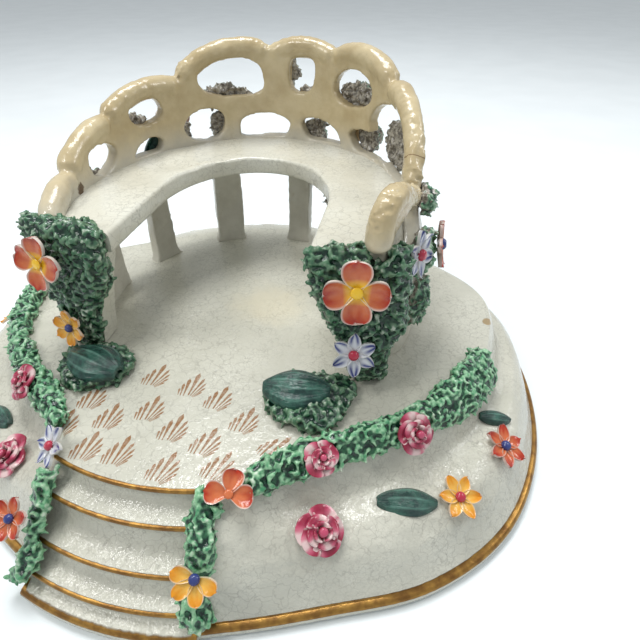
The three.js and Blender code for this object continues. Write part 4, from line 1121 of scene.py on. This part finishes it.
def rose_lumps(reach, seed):
    chance = np.random.default_rng(int(seed * 10) + 5)
    lumps = []
    for turn, (petals, out, foot, lip, half, start) in enumerate(ROSE_TURNS):
        for k in range(petals):
            middle = 2 * pi * (k + chance.uniform(-0.16, 0.16)) / petals + start + seed
            far, high = out * chance.uniform(0.88, 1.04), lip * chance.uniform(0.86, 1.12)
            grid = []
            for r in range(9):
                f = r / 8
                line = []
                for c in range(13):
                    s = 2 * c / 12 - 1
                    a = middle + s * half * (0.45 + 0.55 * sin(f * 1.9)) * 2.6 / petals ** 0.6
                    ring = reach * (0.16 + (far - 0.16) * f * (1 - 0.2 * s * s)) * (1 + 0.09 * s)
                    curl = 0.1 * s * s * f - 0.12 * f ** 6 + 0.04 * sin(4 * s + k)
                    up = reach * (lerp(foot, high, f ** 0.7) + curl)
                    line.append((ring * cos(a), ring * sin(a), up))
                grid.append(line)
            points, faces, shares = thick_sheet(grid, 0.09 * reach)
            colours = []
            for f, s in shares:
                wash = 0.5 + 0.5 * sin(3.2 * s + 2.3 * k + seed)
                colour = blend_of(PINK_PALE, PINK_DEEP, 0.4 + 1.2 * wash * f)
                colour = blend_of(ROSE_RED, colour, 0.1 + f * 2.6 - 0.25 * turn)
                colour = blend_of(colour, ROSE_RED, 0.9 * smooth(f, 0.45, 0.8) * smooth(wash, 0.5, 0.9))
                if abs(s) > 0.9 or wash * f < 0.12:
                    colour = blend_of(colour, BODY_WHITE, 0.5)
                colours.append(colour)
            lumps.append((points, faces, colours))
    points, faces = button(0.55 * reach, 0.06 * reach, 0.6)
    lumps.append((points, faces, [ROSE_RED] * len(points)))
    points, faces = button(0.2 * reach, 0.6 * reach, 1.0)
    lumps.append((points, faces, [ROSE_RED if p[2] < 0.7 * reach else PINK_DEEP for p in points]))
    return lumps


ROSE_SHARE = 0.93
for seed, node in enumerate(solids_named("rose")):
    lumps = rose_lumps(seat_of(node)[3] * ROSE_SHARE, seed * 1.3)
    painted_piece("petals_" + node, lumps, node, "pink_glaze")


# The leaves: ovals of clay scored with veins and cupped in the palm. Dark blue-green glaze that
# runs thin and pale along the ribs, where the paleness is also a painted highlight.
leaf_glaze, shader, glaze = new_glaze("leaf_glaze", 0.12)
place = millimetres(glaze)
rib = glaze.node("Attribute", {}, output=2, attribute_name="rib")
scores = grain(glaze.node("Attribute", {}, output=1, attribute_name="scores"), 1.0, 3.0, 0.6)
run = grain(place, 0.35, 3.0, 0.6)
dark = run.rise(0.35, 0.7).over((0.035, 0.115, 0.085), (0.010, 0.038, 0.032))
# paler along the raised ribs: glaze running thin, and a painted highlight
thin_glaze_and_highlight = (rib * 0.8 + run * 0.5).rise(0.62, 1.15) * 0.6
feed(shader, Base_Color=thin_glaze_and_highlight.over((0.13, 0.28, 0.22), dark))
set_bump(shader, scores * 0.8 + grain(place, 0.7, 2.0) * 0.4, 0.6, 0.0007)


def leaf_lump(length, width, thick, ribs, seed):
    """A leaf's points and faces, with how near each point is to a rib and its place for the scores."""
    rows, columns = 37, 41
    grid, marks = [], []
    for r in range(rows):
        f = r / (rows - 1)
        line = []
        half = width / 2 * sin(pi * (0.04 + 0.92 * f)) ** 0.62
        for c in range(columns):
            s = 2 * c / (columns - 1) - 1
            wave = cos(s * ribs * pi + 0.6 * sin(5 * f + seed) + 0.4 * s * cos(3 * f))
            crease = exp(-(s * 9) ** 2)
            crown = thick * (1 - 0.9 * s * s) * (1 - 0.55 * (2 * f - 1) ** 2)
            fade = sin(pi * f) ** 0.5
            aside = s * half * (1 + 0.03 * sin(9 * f + seed))
            line.append(((f - 0.5) * length, aside, crown + (0.2 * wave - 0.35 * crease) * fade * thick / 4))
            marks.append(max(0, wave) * fade)
        grid.append(line)
    points, faces, shares = thick_sheet(grid, max(0.9, thick * 0.3))
    return points, faces, marks + [0.0] * len(marks), [(s * 14, f * 3, seed) for f, s in shares]


# some leaves lie turned on their seat, by so many radians
LEAF_TURNS = {"leaf_slope_right_front": -0.42, "leaf_slope_left_front": 0.3, "leaf_slope_right_side": -1.2}

for seed, node in enumerate(solids_named("leaf")):
    origin, normal, long_way, reach = seat_of(node)
    side = normal.cross(long_way).normalized()
    solid = [v.co * 1000 - origin for v in frame["nodes"][node].data.vertices]
    width = 2 * max(abs(p.dot(side)) for p in solid)
    thick = 0.92 * max(p.dot(normal) for p in solid)
    points, faces, ribs, scored = leaf_lump(reach * 2, width, thick, 5 if "floor" in node else 3, seed)
    turn = LEAF_TURNS.get(node, 0)
    c, s = cos(turn), sin(turn)
    long_way, side = long_way * c + side * s, side * c - long_way * s
    placed = [tuple(origin + long_way * a + side * b + normal * up) for a, b, up in points]
    piece = new_piece("veined_" + node, placed, faces)
    layer = piece.data.attributes.new("rib", "FLOAT", "POINT")
    layer.data.foreach_set("value", ribs)
    layer = piece.data.attributes.new("scores", "FLOAT_VECTOR", "POINT")
    layer.data.foreach_set("vector", [v for score in scored for v in score])
    dress(piece, leaf_glaze, "leaf_glaze", node)

for shred in list(shreds.objects):
    bpy.data.objects.remove(shred)
